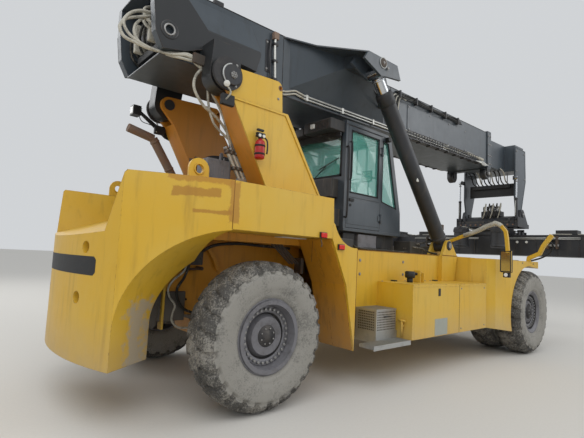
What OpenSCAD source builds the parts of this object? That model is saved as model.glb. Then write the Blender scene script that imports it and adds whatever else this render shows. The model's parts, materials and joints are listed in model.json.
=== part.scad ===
// Reach stacker for containers, full size, in millimetres.
// X points forward, Y to the left and Z up. The ground is Z = 0. Inside each module X is counted
// from the rear axle, and machine_frame() moves that to the middle of the overall length.

/* [Running gear] */
// Distance between the rear and the front axle
wheelbase = 6200; // [5900:10:6500]
// Radius of every tyre out to its lugs
tyre_r = 800; // [780:5:820]
// Width of one tyre
tyre_w = 500; // [470:5:510]
// Radius of the rim under the tyre's bead
rim_r = 385; // [360:5:400]
// Middle of a rear tyre from the centre line
rear_tyre_y = 1305; // [1290:5:1330]
// Middle of an outer front tyre from the centre line
front_outer_y = 1760; // [1740:5:1780]
// Middle of an inner front tyre from the centre line
front_inner_y = 1215; // [1210:5:1225]
// Kingpin of a rear wheel from the centre line
kingpin_y = 960; // [940:5:980]

/* [Rear body] */
// How far the counterweight bulges behind the rear axle
rear_end = 1730; // [1700:10:1800]
// Radius of the counterweight's rear face seen from above
rear_arc_r = 3060; // [2900:20:3300]
// Half width of the counterweight's rear face
rear_face_y = 1130; // [1080:10:1160]
// Half width over the rear fenders
fender_y = 1550; // [1530:5:1570]
// Underside of the counterweight
weight_z = 550; // [500:10:600]
// Top of the shoulders and of the rear fenders
shoulder_z = 2385; // [2350:5:2420]
// Height of the counterweight's rear edge between the shoulders
dip_z = 1760; // [1700:10:1820]
// Underside of the rear fenders over the wheels
arch_z = 1895; // [1880:5:1920]
// Radius of the corner of the rear wheel arch
arch_r = 1000; // [900:10:1050]
// Half width of the dip between the shoulders
dip_y = 920; // [880:10:960]
// Half width of that dip at the top of the shoulders, mm
dip_top_y = 1140; // [1100:10:1160]
// Front end of the rear fenders
fender_x = 860; // [840:5:900]

/* [Frame] */
// Half width of the main frame between the axles
frame_y = 1200; // [1180:5:1230]
// Top of the main frame
frame_z = 1800; // [1780:5:1830]
// Underside of the main frame
frame_low_z = 620; // [580:10:660]
// Half width of the frame between the steered wheels
rear_frame_y = 380; // [340:10:400]
// Half width of the frame between the driven wheels
front_frame_y = 930; // [900:10:950]
// Half width over the front fenders
front_fender_y = 1900; // [1880:5:1920]

/* [Boom] */
// Boom pivot in front of the rear axle
pivot_x = -380; // [-400:5:-360]
// Height of the boom pivot
pivot_z = 3730; // [3715:5:3750]
// Angle at which the parked boom rises
luff = 1.3; // [0.5:0.1:2]
// Half width of the outer boom
boom_y = 500; // [480:5:520]
// Underside of the outer boom above the pivot
boom_low = 175; // [170:1:200]
// Top of the outer boom above the pivot
boom_top = 1065; // [1030:5:1100]
// Front end of the outer boom
boom_front_x = 7650; // [7500:10:7800]
// Plate of the outer and inner boom
boom_wall = 16; // [12:1:25]
// Half width of the inner boom
inner_y = 405; // [390:5:415]
// Height of the inner boom
inner_h = 700; // [660:5:710]
// Half width over the head's side plates
head_y = 700; // [680:5:730]
// Diameter of the boom pivot pins
pivot_pin_d = 150; // [130:5:160]

/* [Lift cylinders] */
// Middle of a lift cylinder from the centre line
lift_y = 1125; // [1110:5:1140]
// Lower pin of the lift cylinders behind the front axle
lift_low_back = 2010; // [1980:5:2040]
// Height of the lower pin
lift_low_z = 1980; // [1960:5:2000]
// Upper pin of the lift cylinders in front of the rear axle
lift_top_x = 2120; // [2100:5:2140]
// Height of the upper pin
lift_top_z = 4520; // [4500:5:4540]
// Outer diameter of a lift cylinder's barrel
barrel_d = 255; // [240:5:265]
// Diameter of a lift cylinder's rod
rod_d = 180; // [160:5:190]

/* [Cab] */
// Half width of the cab
cab_y = 730; // [700:5:750]
// Rear wall of the cab
cab_rear_x = 1950; // [1930:5:1980]
// Length of the cab's floor
cab_len = 1520; // [1480:5:1540]
// Height of the cab's floor
cab_z = 2085; // [2060:5:2110]
// Height of the cab's roof
cab_top_z = 3830; // [3800:5:3840]

/* [Spreader] */
// Slewing axis of the spreader in front of the rear axle
slew_x = 9000; // [8950:10:9100]
// Half length of the spreader for short containers
spreader_half = 3029; // [3029:1:3029]
// Length of an end beam
end_beam_len = 2438; // [2400:1:2440]
// Underside of the twistlocks
lock_z = 1795; // [1790:5:1810]
// Top of the spreader's main beam
beam_top_z = 2480; // [2440:10:2500]

/* [Fits] */
// Clearance round a shaft in its bore
fit = 0.05; // [0.02:0.01:0.09]
// Gap between pieces that slide or turn beside each other
run = 6; // [5:1:10]
// Gap to a seat
seat = 0.3; // [0.2:0.1:0.5]

/* [Hidden] */
x_mid = (slew_x + end_beam_len / 2 - rear_end) / 2;

yellow = [0.84, 0.66, 0.18];
slate = [0.20, 0.22, 0.24];
black = [0.10, 0.10, 0.11];
tyre_grey = [0.33, 0.32, 0.31];
rim_grey = [0.45, 0.45, 0.44];
glass_teal = [0.55, 0.80, 0.76];
steel = [0.72, 0.73, 0.74];
alu = [0.62, 0.63, 0.64];
rust = [0.42, 0.28, 0.20];

// Places that several pieces share
axle_z = tyre_r;
spindle_d = 240;
boom_z0 = pivot_z + boom_low;
boom_z1 = pivot_z + boom_top;
boom_mid_z = (boom_z0 + boom_z1) / 2;
inner_z0 = boom_mid_z - inner_h / 2;
inner_z1 = boom_mid_z + inner_h / 2;
heel_x = -1154;
head_x0 = 8720;
head_x1 = 9390;
tilt_x = 8970;
tilt_z = 3050;
tower_in_y = 600;
tower_plate = 60;
tower_out_y = 880;
// Twistlocks sit where the corner holes of a short container are
lock_x = 1129.5;
lock_y = spreader_half - 102.5;
lock_d = 56;
lug_in_y = tower_in_y + tower_plate + run;
lug_out_y = tower_out_y - run;
tower_face_y = tower_out_y + tower_plate;
lift_low_x = wheelbase - lift_low_back;
// Front end of the wheel bay's inner wall, where the frame widens
frame_x0 = 1390;
neck_x = wheelbase - 880;
// Rear end of the front fenders
front_fender_x0 = wheelbase - 1680;

// Puts the rear axle where the overall box is centred
module machine_frame() {
    translate([-x_mid, 0, 0])
        children();
}

// Turns a level boom up to its parked angle about its pivot
module boom_frame() {
    machine_frame()
        translate([pivot_x, 0, pivot_z])
            rotate([0, -luff, 0])
                translate([-pivot_x, 0, -pivot_z])
                    children();
}

// Repeats a piece of the left side on the right
module both_sides() {
    children();
    mirror([0, 1, 0])
        children();
}

// A piece of the left side, or its mirror image on the right
module on_side(side) {
    mirror([0, side == "right" ? 1 : 0, 0])
        children();
}

// Extrudes an outline drawn in X and Z from y0 to y1
module slab_y(y0, y1) {
    translate([0, y1, 0])
        rotate([90, 0, 0])
            linear_extrude(y1 - y0)
                children();
}

// A round bar along Y from y0 to y1
module bar_y(x, z, y0, y1, d) {
    translate([x, y1, z])
        rotate([90, 0, 0])
            cylinder(d = d, h = y1 - y0, $fn = 48);
}

// A round bar between two points in a plane of constant Y
module bar_xz(p, q, y, d) {
    dx = q[0] - p[0];
    dz = q[1] - p[1];
    translate([p[0], y, p[1]])
        rotate([0, atan2(dx, dz), 0])
            cylinder(d = d, h = norm([dx, dz]), $fn = 48);
}

// One side of a bent bar of width d, whose middle runs along a path in a plane
function side_of(path, d) = [for (i = [0 : len(path) - 1])
    let (t = path[min(i + 1, len(path) - 1)] - path[max(i - 1, 0)])
        path[i] + d / 2 / norm(t) * [-t[1], t[0]]];
function backwards(list) = [for (i = [len(list) - 1 : -1 : 0]) list[i]];

// A flat-sided bent bar along a path of Y and Z at one X
module bent_bar(x, path, d) {
    translate([x - d / 2, 0, 0])
        rotate([90, 0, 90])
            linear_extrude(d)
                polygon(concat(side_of(path, d), backwards(side_of(path, -d))));
}

// A box given by its lowest and highest corner
module box(lo, hi) {
    translate(lo)
        cube(hi - lo);
}

// Rear body

// Plan of the counterweight from its bulging rear face to the fenders
function rear_arc(y) = rear_arc_r - rear_end - sqrt(rear_arc_r * rear_arc_r - y * y);
weight_front_x = -580;
oblique_x = -620;
inner_wall_x = -1040;
inner_wall_y = 830;
arc_steps = 12;

module weight_plan() {
    arc = [for (i = [-arc_steps : arc_steps]) let (y = rear_face_y * i / arc_steps) [rear_arc(y), y]];
    polygon(concat(
        [[weight_front_x, -fender_y], [oblique_x, -fender_y]],
        arc,
        [[oblique_x, fender_y], [weight_front_x, fender_y]]));
}

// The wheel bay behind a rear wheel: an oblique wall that curves into the fender's underside
module wheel_bay() {
    corner = [rear_arc(rear_face_y), rear_face_y];
    turn = atan2(corner[1] - inner_wall_y, corner[0] - inner_wall_x);
    translate([inner_wall_x, inner_wall_y, 0])
        rotate([0, 0, turn])
            translate([-600, 0, 0])
                rotate([90, 0, 90])
                    linear_extrude(2400)
                        mirror([1, 0, 0])
                            wheel_bay_outline();
}

module wheel_bay_outline() {
    low = weight_z - 200;
    difference() {
        translate([0, low])
            square([3000, arch_z - low]);
        difference() {
            translate([-1, arch_z - arch_r])
                square([arch_r + 1, arch_r + 1]);
            translate([arch_r, arch_z - arch_r])
                circle(arch_r, $fn = 96);
        }
    }
}

module counterweight() {
    hole_d = 120;
    holes = [[660, 1650], [560, 1160]];
    color(yellow)
        machine_frame()
            difference() {
                translate([0, 0, weight_z])
                    linear_extrude(shoulder_z - weight_z)
                        weight_plan();
                // The dip between the shoulders: its floor rises forward and its sides lean outward
                intersection() {
                    slab_y(-fender_y, fender_y)
                        polygon([[-2000, dip_z - 100], [-rear_end, dip_z], [-960, 2020], [-960, 2030],
                            [0, 2030], [0, 2600], [-2000, 2600]]);
                    translate([-2000, 0, 0])
                        rotate([90, 0, 90])
                            linear_extrude(2000)
                                polygon([[-dip_y, dip_z], [dip_y, dip_z], [dip_top_y, shoulder_z],
                                    [dip_top_y, 2600], [-dip_top_y, 2600], [-dip_top_y, shoulder_z]]);
                }
                both_sides()
                    wheel_bay();
                // Middle bay over the steered axle and its frame
                box([inner_wall_x, -inner_wall_y - 1, weight_z - 10], [0, inner_wall_y + 1, arch_z]);
                both_sides()
                    for (h = holes)
                        translate([-rear_end - 50, h[0], h[1]])
                            rotate([0, 90, 0])
                                cylinder(d = hole_d, h = 400, $fn = 48);
            }
}

// Fender boxes over the rear wheels, with the walls in front of them and the lifting eyes
module rear_fenders() {
    eye_r = 115;
    wall = 12;
    in_y = tower_face_y + seat;
    guard_x1 = frame_x0 - 10;
    color(yellow)
        machine_frame()
            both_sides() {
                difference() {
                    box([weight_front_x, in_y, arch_z], [fender_x, fender_y, shoulder_z]);
                    box([weight_front_x - 1, in_y - 1, arch_z + wall],
                        [fender_x - wall, fender_y - wall, shoulder_z - wall]);
                }
                difference() {
                    slab_y(1180, 1210)
                        union() {
                            translate([-800, 2500])
                                circle(eye_r, $fn = 48);
                            translate([-800 - eye_r, shoulder_z])
                                square([2 * eye_r, 2500 - shoulder_z]);
                        }
                    bar_y(-800, 2500, 1100, 1300, 90);
                }
                // Wall between the wheel bay and the frame
                intersection() {
                    box([fender_x - 1, in_y, 500], [guard_x1, frame_y, shoulder_z]);
                    slab_y(500, 2000)
                        mudguard_outline();
                }
            }
}

// Mudguards in front of the rear wheels
module mudguards() {
    color(yellow)
        machine_frame()
            both_sides()
                intersection() {
                    translate([0, 0, 500])
                        linear_extrude(shoulder_z - 500)
                            polygon([[fender_x + seat, frame_y + seat], [fender_x + seat, fender_y],
                                [1330, fender_y], [1750, frame_y + seat]]);
                    slab_y(500, 2000)
                        mudguard_outline();
                }
}

// Side view of the mudguard box: its rear edge follows the wheel, its top sweeps down to the frame
module mudguard_outline() {
    sweep_r = 420;
    difference() {
        polygon([[fender_x - 1, arch_z], [1140, 1340], [1330, 510], [1750, 510], [1750, frame_z],
            [fender_x + 12 + sweep_r, frame_z], [fender_x + 12, frame_z + 290],
            [fender_x - 1, shoulder_z]]);
        translate([fender_x + 12 + sweep_r, frame_z + sweep_r])
            circle(sweep_r, $fn = 96);
    }
}

// Main frame: two girders with a plate above and below, open at the rear
module main_frame() {
    girder = 110;
    plate = 16;
    in_y = frame_y - girder - seat;
    color(yellow)
        machine_frame() {
            both_sides()
                box([frame_x0, frame_y - girder, frame_low_z], [neck_x, frame_y, frame_z]);
            for (z = [frame_low_z, frame_z - plate])
                box([frame_x0, -in_y, z], [neck_x, in_y, z + plate]);
        }
}

// Spine between the steered wheels and the deck on it
module rear_frame() {
    trunnion_x = 170;
    deck_x1 = 1640;
    color(yellow)
        machine_frame()
            difference() {
                union() {
                    box([inner_wall_x, -rear_frame_y, 900], [frame_x0, rear_frame_y, frame_z + 1]);
                    box([weight_front_x, -tower_face_y, frame_z], [deck_x1, tower_face_y, arch_z]);
                    for (x = [-trunnion_x - 80, trunnion_x])
                        box([x, -200, 640], [x + 80, 200, 1200]);
                }
                // Bay of the steered axle
                box([-trunnion_x, -rear_frame_y - 1, 600], [trunnion_x, rear_frame_y + 1, 1130]);
            }
}

// Neck between the driven wheels, with the bay of the drive axle
module front_frame() {
    front_x = wheelbase + 780;
    bay = 330;
    color(yellow)
        machine_frame()
            difference() {
                union() {
                    box([neck_x, -front_frame_y, frame_low_z], [front_x, front_frame_y, 1640]);
                    box([neck_x, -frame_y, frame_low_z], [neck_x + 60, frame_y, frame_z]);
                }
                box([wheelbase - bay, -front_frame_y - 1, frame_low_z - 1],
                    [wheelbase + bay, front_frame_y + 1, 1140]);
            }
}

// Lugs of the lift cylinders: the inner ones stand on the frame, the outer ones on its side
module lift_lugs() {
    block_z = 1350;
    color(yellow)
        machine_frame()
            both_sides() {
                lift_lug(lift_y - 125);
                lift_lug(lift_y + 125);
                slab_y(frame_y + seat, lift_y + 150)
                    polygon([[lift_low_x - 230, block_z + seat], [lift_low_x - 230, frame_z + 1],
                        [lift_low_x + 300, frame_z + 1], [lift_low_x + 220, block_z + seat]]);
            }
}

module lift_lug(y) {
    t = 50;
    difference() {
        slab_y(y - t / 2, y + t / 2)
            polygon([[lift_low_x - 230, frame_z], [lift_low_x - 90, lift_low_z + 60],
                [lift_low_x - 40, lift_low_z + 95], [lift_low_x + 40, lift_low_z + 95],
                [lift_low_x + 90, lift_low_z + 60], [lift_low_x + 300, frame_z]]);
        bar_y(lift_low_x, lift_low_z, y - t, y + t, 110);
    }
}

// Two leaning towers that carry the boom's pivot between their plates
module boom_towers() {
    foot_z = 1900;
    box_top = 3490;
    back = -300;
    back_lean = 0.573;
    front = 555;
    front_lean = 0.663;
    height = box_top - foot_z;
    strip = 30;
    strip_drop = 1090;
    step = 15;
    color(yellow)
        machine_frame()
            both_sides()
                difference() {
                    union() {
                        slab_y(tower_in_y, tower_face_y - step)
                            union() {
                                polygon([[back, box_top], [front, box_top],
                                    [front + front_lean * height, foot_z],
                                    [back + back_lean * height, foot_z]]);
                                tower_head();
                            }
                        // Outer face, a step in front of the head's plate
                        slab_y(tower_face_y - step - 1, tower_face_y)
                            polygon([[back, box_top], [front, box_top],
                                [front + front_lean * height, foot_z],
                                [back + back_lean * height, foot_z]]);
                        // Edge strips along the top and the front
                        slab_y(tower_face_y - 1, tower_face_y + 12)
                            polygon([[back, box_top], [front, box_top],
                                [front + front_lean * strip_drop, box_top - strip_drop],
                                [front - strip + front_lean * strip_drop, box_top - strip_drop],
                                [front - strip - 10, box_top - strip], [back, box_top - strip]]);
                    }
                    // Slot for the boom's lug
                    box([-1000, tower_in_y + tower_plate, box_top - 10], [400, tower_out_y, 4200]);
                    bar_y(pivot_x, pivot_z, tower_in_y - 50, 1000, pivot_pin_d);
                    bar_y(430, 3810, tower_in_y - 50, 1000, 46);
                }
}

module tower_head() {
    hull() {
        translate([pivot_x, pivot_z])
            circle(118, $fn = 48);
        translate([370, 3800])
            circle(90, $fn = 48);
        translate([-300, 3480])
            square([780, 20]);
    }
}

// Pins of the boom and of the lift cylinders' feet, with their end caps
module boom_pins() {
    head_face_y = tower_face_y - 15;
    color(black)
        machine_frame()
            both_sides() {
                bar_y(pivot_x, pivot_z, tower_in_y - 20, head_face_y + 5, pivot_pin_d - 0.1);
                bar_y(pivot_x, pivot_z, head_face_y + 0.3, head_face_y + 35, 390);
                bar_y(lift_low_x, lift_low_z, lift_y - 170, lift_y + 170, 110 - 0.1);
            }
}

// The engine as one plain block on the deck, under the hood
module engine_block() {
    color(steel)
        machine_frame()
            box([150, -380, arch_z], [1250, 380, 2500]);
}

// Hood and air cleaner between the towers
module engine_hood() {
    top_z = 2560;
    wall = 20;
    half = tower_in_y - run;
    color(black)
        machine_frame() {
            difference() {
                box([-540, -half, arch_z], [1360, half, top_z]);
                box([-540 + wall, -half + wall, arch_z - 1], [1360 - wall, half - wall, top_z - wall]);
            }
            translate([300, 300, top_z])
                cylinder(d = 380, h = 430, $fn = 48);
        }
}

module exhaust_pipe() {
    color(rust)
        machine_frame()
            translate([0, 1000, 0]) {
                translate([170, 0, shoulder_z + seat])
                    cylinder(d = 200, h = 70, $fn = 48);
                bar_xz([170, shoulder_z + 50], [-420, 3300], 0, 130);
                bar_xz([-420, 3300], [-790, 3380], 0, 125);
            }
}

// Box tanks beside the frame
module side_tanks() {
    color(yellow)
        machine_frame()
            both_sides()
                box([2240, frame_y, 600], [front_fender_x0 - 5, 1800, 1350]);
}

module steps() {
    color(alu)
        machine_frame()
            both_sides() {
                box([1760, frame_y, 700], [2200, 1560, 1000]);
                box([1420, 1560, 560], [2230, 1790, 600]);
                box([1760, frame_y, 560], [2230, 1561, 701]);
            }
}

// Fenders over the twin front wheels
module front_fenders() {
    arch = 890;
    w = wheelbase;
    x0 = front_fender_x0;
    y1 = front_fender_y;
    plan = [[x0, frame_y + seat], [x0 + 40, 1500], [x0 + 120, y1 - 160], [x0 + 270, y1 - 60],
        [w - arch - 20, y1], [w + 500, y1], [w + 420, 1600], [w - 320, 1500],
        [w - 900, frame_y + seat]];
    color(yellow)
        machine_frame()
            both_sides()
                difference() {
                    translate([0, 0, 490])
                        linear_extrude(1785 - 490)
                            polygon(plan);
                    bar_y(w, axle_z, 900, 2400, 2 * arch);
                    box([w - arch + 60, 900, 400], [w + 1000, 2400, axle_z]);
                    slab_y(900, 2400)
                        polygon([[w - 10, axle_z - 10], [w - 10, axle_z + arch - 1],
                            [w + 150, axle_z + arch - 10], [w + 600, 1640], [w + 600, axle_z - 10]]);
                    // Lower edge that drops from the tank towards the wheel
                    slab_y(900, 2400)
                        polygon([[x0 - 1, 400], [x0 - 1, 600], [w - arch, 495], [w - arch, 400]]);
                }
}

// Running gear

module drive_axle() {
    color(black)
        machine_frame() {
            both_sides()
                translate([wheelbase, 0, axle_z])
                    rotate([-90, 0, 0])
                        rotate_extrude($fn = 96)
                            drive_axle_profile();
            both_sides()
                box([wheelbase - 200, 420, axle_z + 150], [wheelbase + 200, 620, 1140]);
        }
}

// Half of the drive axle seen from above: the differential's bulge, the tube and the spindle
module drive_axle_profile() {
    polygon([[0, 0], [300, 0], [300, 110], [250, 240], [190, 330], [190, 640], [150, 660], [150, 900],
        [spindle_d / 2, 900], [spindle_d / 2, 1500], [0, 1500]]);
}

module steer_axle() {
    color(black)
        machine_frame()
            difference() {
                union() {
                    box([-150, -760, axle_z - 130], [150, 760, axle_z + 90]);
                    translate([-170, 0, axle_z - 20])
                        rotate([0, 90, 0])
                            cylinder(d = 160, h = 340, $fn = 48);
                    both_sides()
                        for (z = [axle_z - 210, axle_z + 130])
                            box([-110, 740, z], [110, kingpin_y + 85, z + 80]);
                    both_sides()
                        box([-110, 740, axle_z - 210], [110, 790, axle_z + 210]);
                }
                both_sides()
                    translate([0, kingpin_y, axle_z - 300])
                        cylinder(d = 90, h = 600, $fn = 48);
            }
}

module knuckle(side) {
    color(black)
        machine_frame()
            on_side(side) {
                translate([0, kingpin_y, axle_z - 215])
                    cylinder(d = 90 - 2 * fit, h = 430, $fn = 48);
                translate([0, kingpin_y, axle_z - 129])
                    cylinder(d = 190, h = 258, $fn = 48);
                bar_y(0, axle_z, kingpin_y, rear_tyre_y + 60, 130);
            }
}

// One tyre about its own middle
module tyre_ring() {
    w = tyre_w / 2;
    steps = [[w, tyre_r - 85], [w - 22, tyre_r - 48]];
    rotate([90, 0, 0])
        difference() {
            union() {
                translate([0, 0, -w + 45])
                    linear_extrude(2 * (w - 45))
                        tread_outline();
                for (s = steps)
                    translate([0, 0, -s[0]])
                        linear_extrude(2 * s[0])
                            ring_outline(s[1]);
            }
            translate([0, 0, -w - 1])
                linear_extrude(2 * w + 2)
                    ring_outline(rim_r / cos(180 / lug_count));
        }
}

// Flat-sided ring with one side to a lug
function spot(r, a) = [r * cos(a), r * sin(a)];
module ring_outline(r) {
    polygon([for (i = [0 : lug_count - 1]) spot(r, 360 * i / lug_count)]);
}

// Tread with its lugs, one of which stands flat on the ground
lug_count = 26;
lug_h = 35;
module tread_outline() {
    pitch = 360 / lug_count;
    top = 0.3 * pitch;
    foot = 0.4 * pitch;
    polygon([for (i = [0 : lug_count - 1]) let (a = -90 + i * pitch) each [
        spot(tyre_r - lug_h, a - foot), spot(tyre_r / cos(top), a - top),
        spot(tyre_r / cos(top), a + top), spot(tyre_r - lug_h, a + foot)]]);
}

module rear_tyre(side) {
    color(tyre_grey)
        machine_frame()
            on_side(side)
                translate([0, rear_tyre_y, axle_z])
                    tyre_ring();
}

module rear_rim(side) {
    w = tyre_w / 2;
    color(rim_grey)
        machine_frame()
            on_side(side)
                translate([0, rear_tyre_y, axle_z])
                    difference() {
                        rotate([90, 0, 0])
                            rotate_extrude($fn = 96)
                                polygon([[60, -150], [200, -150], [240, -60], [300, -60],
                                    [340, -w + 30], [rim_r - seat, -w + 30], [rim_r - seat, w - 70],
                                    [360, w - 60], [330, 0], [200, 60], [60, 60]]);
                        bar_y(0, 0, -400, 400, 130 + 2 * fit);
                    }
}

module front_tyres(side) {
    color(tyre_grey)
        machine_frame()
            on_side(side)
                for (y = [front_inner_y, front_outer_y])
                    translate([wheelbase, y, axle_z])
                        tyre_ring();
}

module front_hub(side) {
    color(rim_grey)
        machine_frame()
            on_side(side)
                difference() {
                    union() {
                        bar_y(wheelbase, axle_z, front_inner_y - 170, front_outer_y + 170,
                            2 * (rim_r - seat));
                        bar_y(wheelbase, axle_z, 930, front_outer_y + 60, 420);
                    }
                    bar_y(wheelbase, axle_z, 900, 1510, spindle_d + 2 * fit);
                    bar_y(wheelbase, axle_z, front_outer_y - 40, 2400, 2 * (rim_r - 40));
                    difference() {
                        bar_y(wheelbase, axle_z, 900, front_inner_y - 100, 2 * (rim_r - 40));
                        bar_y(wheelbase, axle_z, 930, front_inner_y - 99, 420);
                    }
                }
}

// Cab

cab_post = 70;
cab_sill_z = 2640;
door_x0 = cab_rear_x + 60;
door_x1 = 2860;
door_hinge_x = door_x1 + 14;
hinge_zs = [2350, 3500];

// Side view of the cab: upright at the rear, a windscreen that leans back
module cab_outline(grow) {
    offset(delta = grow)
        polygon([[cab_rear_x, cab_z], [cab_rear_x + cab_len, cab_z],
            [cab_rear_x + cab_len - 20, 2500], [3130, cab_top_z - 60], [3030, cab_top_z],
            [cab_rear_x, cab_top_z]]);
}

module cab_shell() {
    color(slate)
        machine_frame() {
            both_sides()
                for (z = hinge_zs)
                    difference() {
                        union() {
                            box([door_hinge_x, cab_y - 1, z - 75], [door_x1 + 60, cab_y + 4, z + 75]);
                            for (dz = [-75, 45])
                                translate([door_hinge_x, cab_y + 18, z + dz])
                                    cylinder(d = 36, h = 30, $fn = 32);
                            translate([door_hinge_x, cab_y + 18, z - 75])
                                cylinder(d = 18, h = 150, $fn = 32);
                        }
                        translate([door_hinge_x - 40, cab_y, z - 45])
                            difference() {
                                cube([80, 60, 90]);
                                translate([40, 18, -1])
                                    cylinder(d = 18, h = 92, $fn = 32);
                            }
                    }
            difference() {
                slab_y(-cab_y, cab_y)
                    cab_outline(0);
                slab_y(-cab_y + 60, cab_y - 60)
                    cab_outline(-60);
                // Side windows in front of the doors
                slab_y(-cab_y - 10, cab_y + 10)
                    polygon([[2900, 2640], [3330, 2560], [3060, 3680], [2900, 3700]]);
                // Door openings
                both_sides()
                    box([door_x0 - run, cab_y - 61, cab_z + 60 - run],
                        [door_x1 + run, cab_y + 10, cab_top_z - 70 + run]);
                // Rear window
                box([cab_rear_x - 10, -cab_y + 90, 2960], [cab_rear_x + 100, cab_y - 90, 3600]);
                // Windscreen
                slab_y(-cab_y + 80, cab_y - 80)
                    polygon([[3300, 2560], [3600, 2560], [3300, 3700], [3040, 3700]]);
                // Roof window
                box([2500, -500, cab_top_z - 100], [3000, 500, cab_top_z + 10]);
            }
        }
}

// Sliding frame between the cab's floor and the main frame
module cab_base() {
    color(black)
        machine_frame() {
            both_sides()
                box([1900, 430, frame_z], [3450, 600, cab_z]);
            box([1990, -431, frame_z], [2200, 431, cab_z]);
            box([3100, -431, frame_z], [3350, 431, cab_z]);
        }
}

module cab_glass() {
    color(glass_teal)
        machine_frame() {
            both_sides()
                slab_y(cab_y - 30, cab_y - 24)
                    offset(delta = -seat)
                        polygon([[2900, 2640], [3330, 2560], [3060, 3680], [2900, 3700]]);
            box([cab_rear_x + 20, -cab_y + 90 + seat, 2960 + seat],
                [cab_rear_x + 26, cab_y - 90 - seat, 3600 - seat]);
        }
}

module cab_door(side) {
    color(slate)
        machine_frame()
            on_side(side)
                difference() {
                    union() {
                        box([door_x0, cab_y - 50, cab_z + 60], [door_x1, cab_y, cab_top_z - 70]);
                        for (z = hinge_zs) {
                            translate([door_hinge_x, cab_y + 18, z - 44])
                                cylinder(d = 36, h = 88, $fn = 32);
                            box([door_x1 - 60, cab_y - 1, z - 44], [door_hinge_x - 8, cab_y + 12, z + 44]);
                        }
                    }
                    box([door_x0 + 80, cab_y - 60, 2700], [door_x1 - 70, cab_y + 10,
                        cab_top_z - 140]);
                    for (z = hinge_zs)
                        translate([door_hinge_x, cab_y + 18, z - 50])
                            cylinder(d = 18 + 2 * fit, h = 100, $fn = 32);
                }
}

module door_glass(side) {
    color(glass_teal)
        machine_frame()
            on_side(side)
                box([door_x0 + 80 + seat, cab_y - 30, 2700 + seat],
                    [door_x1 - 70 - seat, cab_y - 24, cab_top_z - 140 - seat]);
}

module cab_interior() {
    color(black)
        machine_frame() {
            box([2250, -260, cab_z + 60], [2750, 260, 2560]);
            box([2200, -260, 2559], [2330, 260, 3250]);
            box([3150, -200, cab_z + 60], [3280, 200, 2800]);
        }
}

// Rear work lamp on a bracket behind the left tower
module work_lamp() {
    lamp_x = -760;
    lamp_z = 3640;
    arm_y = tower_face_y;
    color(black)
        machine_frame() {
            slab_y(arm_y + seat, arm_y + 25)
                polygon([[-150, 3300], [-150, 3390], [-300, 3440], [-655, 3650], [-655, 3600],
                    [-260, 3330]]);
            box([lamp_x, arm_y, lamp_z - 60], [lamp_x + 110, arm_y + 140, lamp_z + 80]);
        }
}

// Mirrors on bent poles that stand on the frame, and the thick poles on the front fenders
module mirrors() {
    mirror_x = 4700;
    lamp_x = wheelbase + 100;
    fender_top = 1785 + seat;
    pole = [[900, frame_z + seat], [900, frame_z + 60], [1020, 2090], [1300, 2195], [1590, 2300],
        [1700, 2360], [1865, 2420], [1970, 2360], [2040, 2270], [2060, 2140], [2080, 1900]];
    lamp_y = front_fender_y - 40;
    lamp_pole = [[lamp_y, fender_top], [lamp_y, fender_top + 65], [2060, 1950], [2120, 2090],
        [2275, 2313]];
    color(yellow)
        machine_frame()
            both_sides() {
                bent_bar(mirror_x, pole, 55);
                box([mirror_x - 20, 1960, 1570], [mirror_x + 30, 2140, 1930]);
                box([mirror_x - 30, 2020, 1480], [mirror_x + 40, 2110, 1571]);
                bent_bar(lamp_x, lamp_pole, 75);
            }
}

// Hard pipes that run up beside the right tower from a block on the hood
module tower_pipes() {
    lean = 0.62;
    pipe_d = 48;
    pitch = 70;
    foot_z = 2560 + seat;
    low_z = foot_z + 30;
    run_z = 385;
    x0 = 125;
    mid_y = -tower_in_y + 34;
    color(steel)
        machine_frame() {
            for (i = [0 : 3])
                bar_xz([x0 + pitch * i, low_z], [x0 + pitch * i - lean * run_z, low_z + run_z], mid_y,
                    pipe_d);
            box([x0 - 40, mid_y - 27, foot_z], [x0 + 3 * pitch + 40, mid_y + 27, foot_z + 50]);
        }
}

// Boom

module boom_outer() {
    w = boom_wall;
    color(slate)
        boom_frame() {
            difference() {
                union() {
                    box([heel_x, -boom_y, boom_z0], [boom_front_x, boom_y, boom_z1]);
                    // Cross box that carries the pivot lugs
                    box([-540, -lug_out_y, boom_z0 + 85], [-150, lug_out_y, boom_z0 + 220]);
                    both_sides()
                        slab_y(lug_in_y, lug_out_y)
                            hull() {
                                translate([pivot_x, pivot_z])
                                    circle(190, $fn = 48);
                                translate([-540, boom_z0 + 100])
                                    square([390, 60]);
                            }
                    both_sides() {
                        heel_cheek();
                        lift_wing();
                    }
                }
                box([heel_x - 50, -boom_y + w, boom_z0 + w],
                    [boom_front_x + 10, boom_y - w, boom_z1 - w]);
                // Rear edge of the heel
                slab_y(-boom_y - 1, boom_y + 1)
                    polygon([[-1300, boom_z0 - 10], [-1026, boom_z0 - 10], [-1026, 3935],
                        [-1122, 4117], [heel_x, 4438], [heel_x, boom_z1 + 10],
                        [-1300, boom_z1 + 10]]);
                bar_y(pivot_x, pivot_z, -1000, 1000, pivot_pin_d);
            }
            // Wear pads at the front
            both_sides()
                box([boom_front_x - 300, inner_y + seat, boom_mid_z - 200],
                    [boom_front_x, boom_y - w, boom_mid_z + 200]);
            box([boom_front_x - 300, -300, boom_z0 + w], [boom_front_x, 300, inner_z0 - seat]);
            box([boom_front_x - 300, -300, inner_z1 + seat], [boom_front_x, 300, boom_z1 - w]);
        }
}

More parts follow.
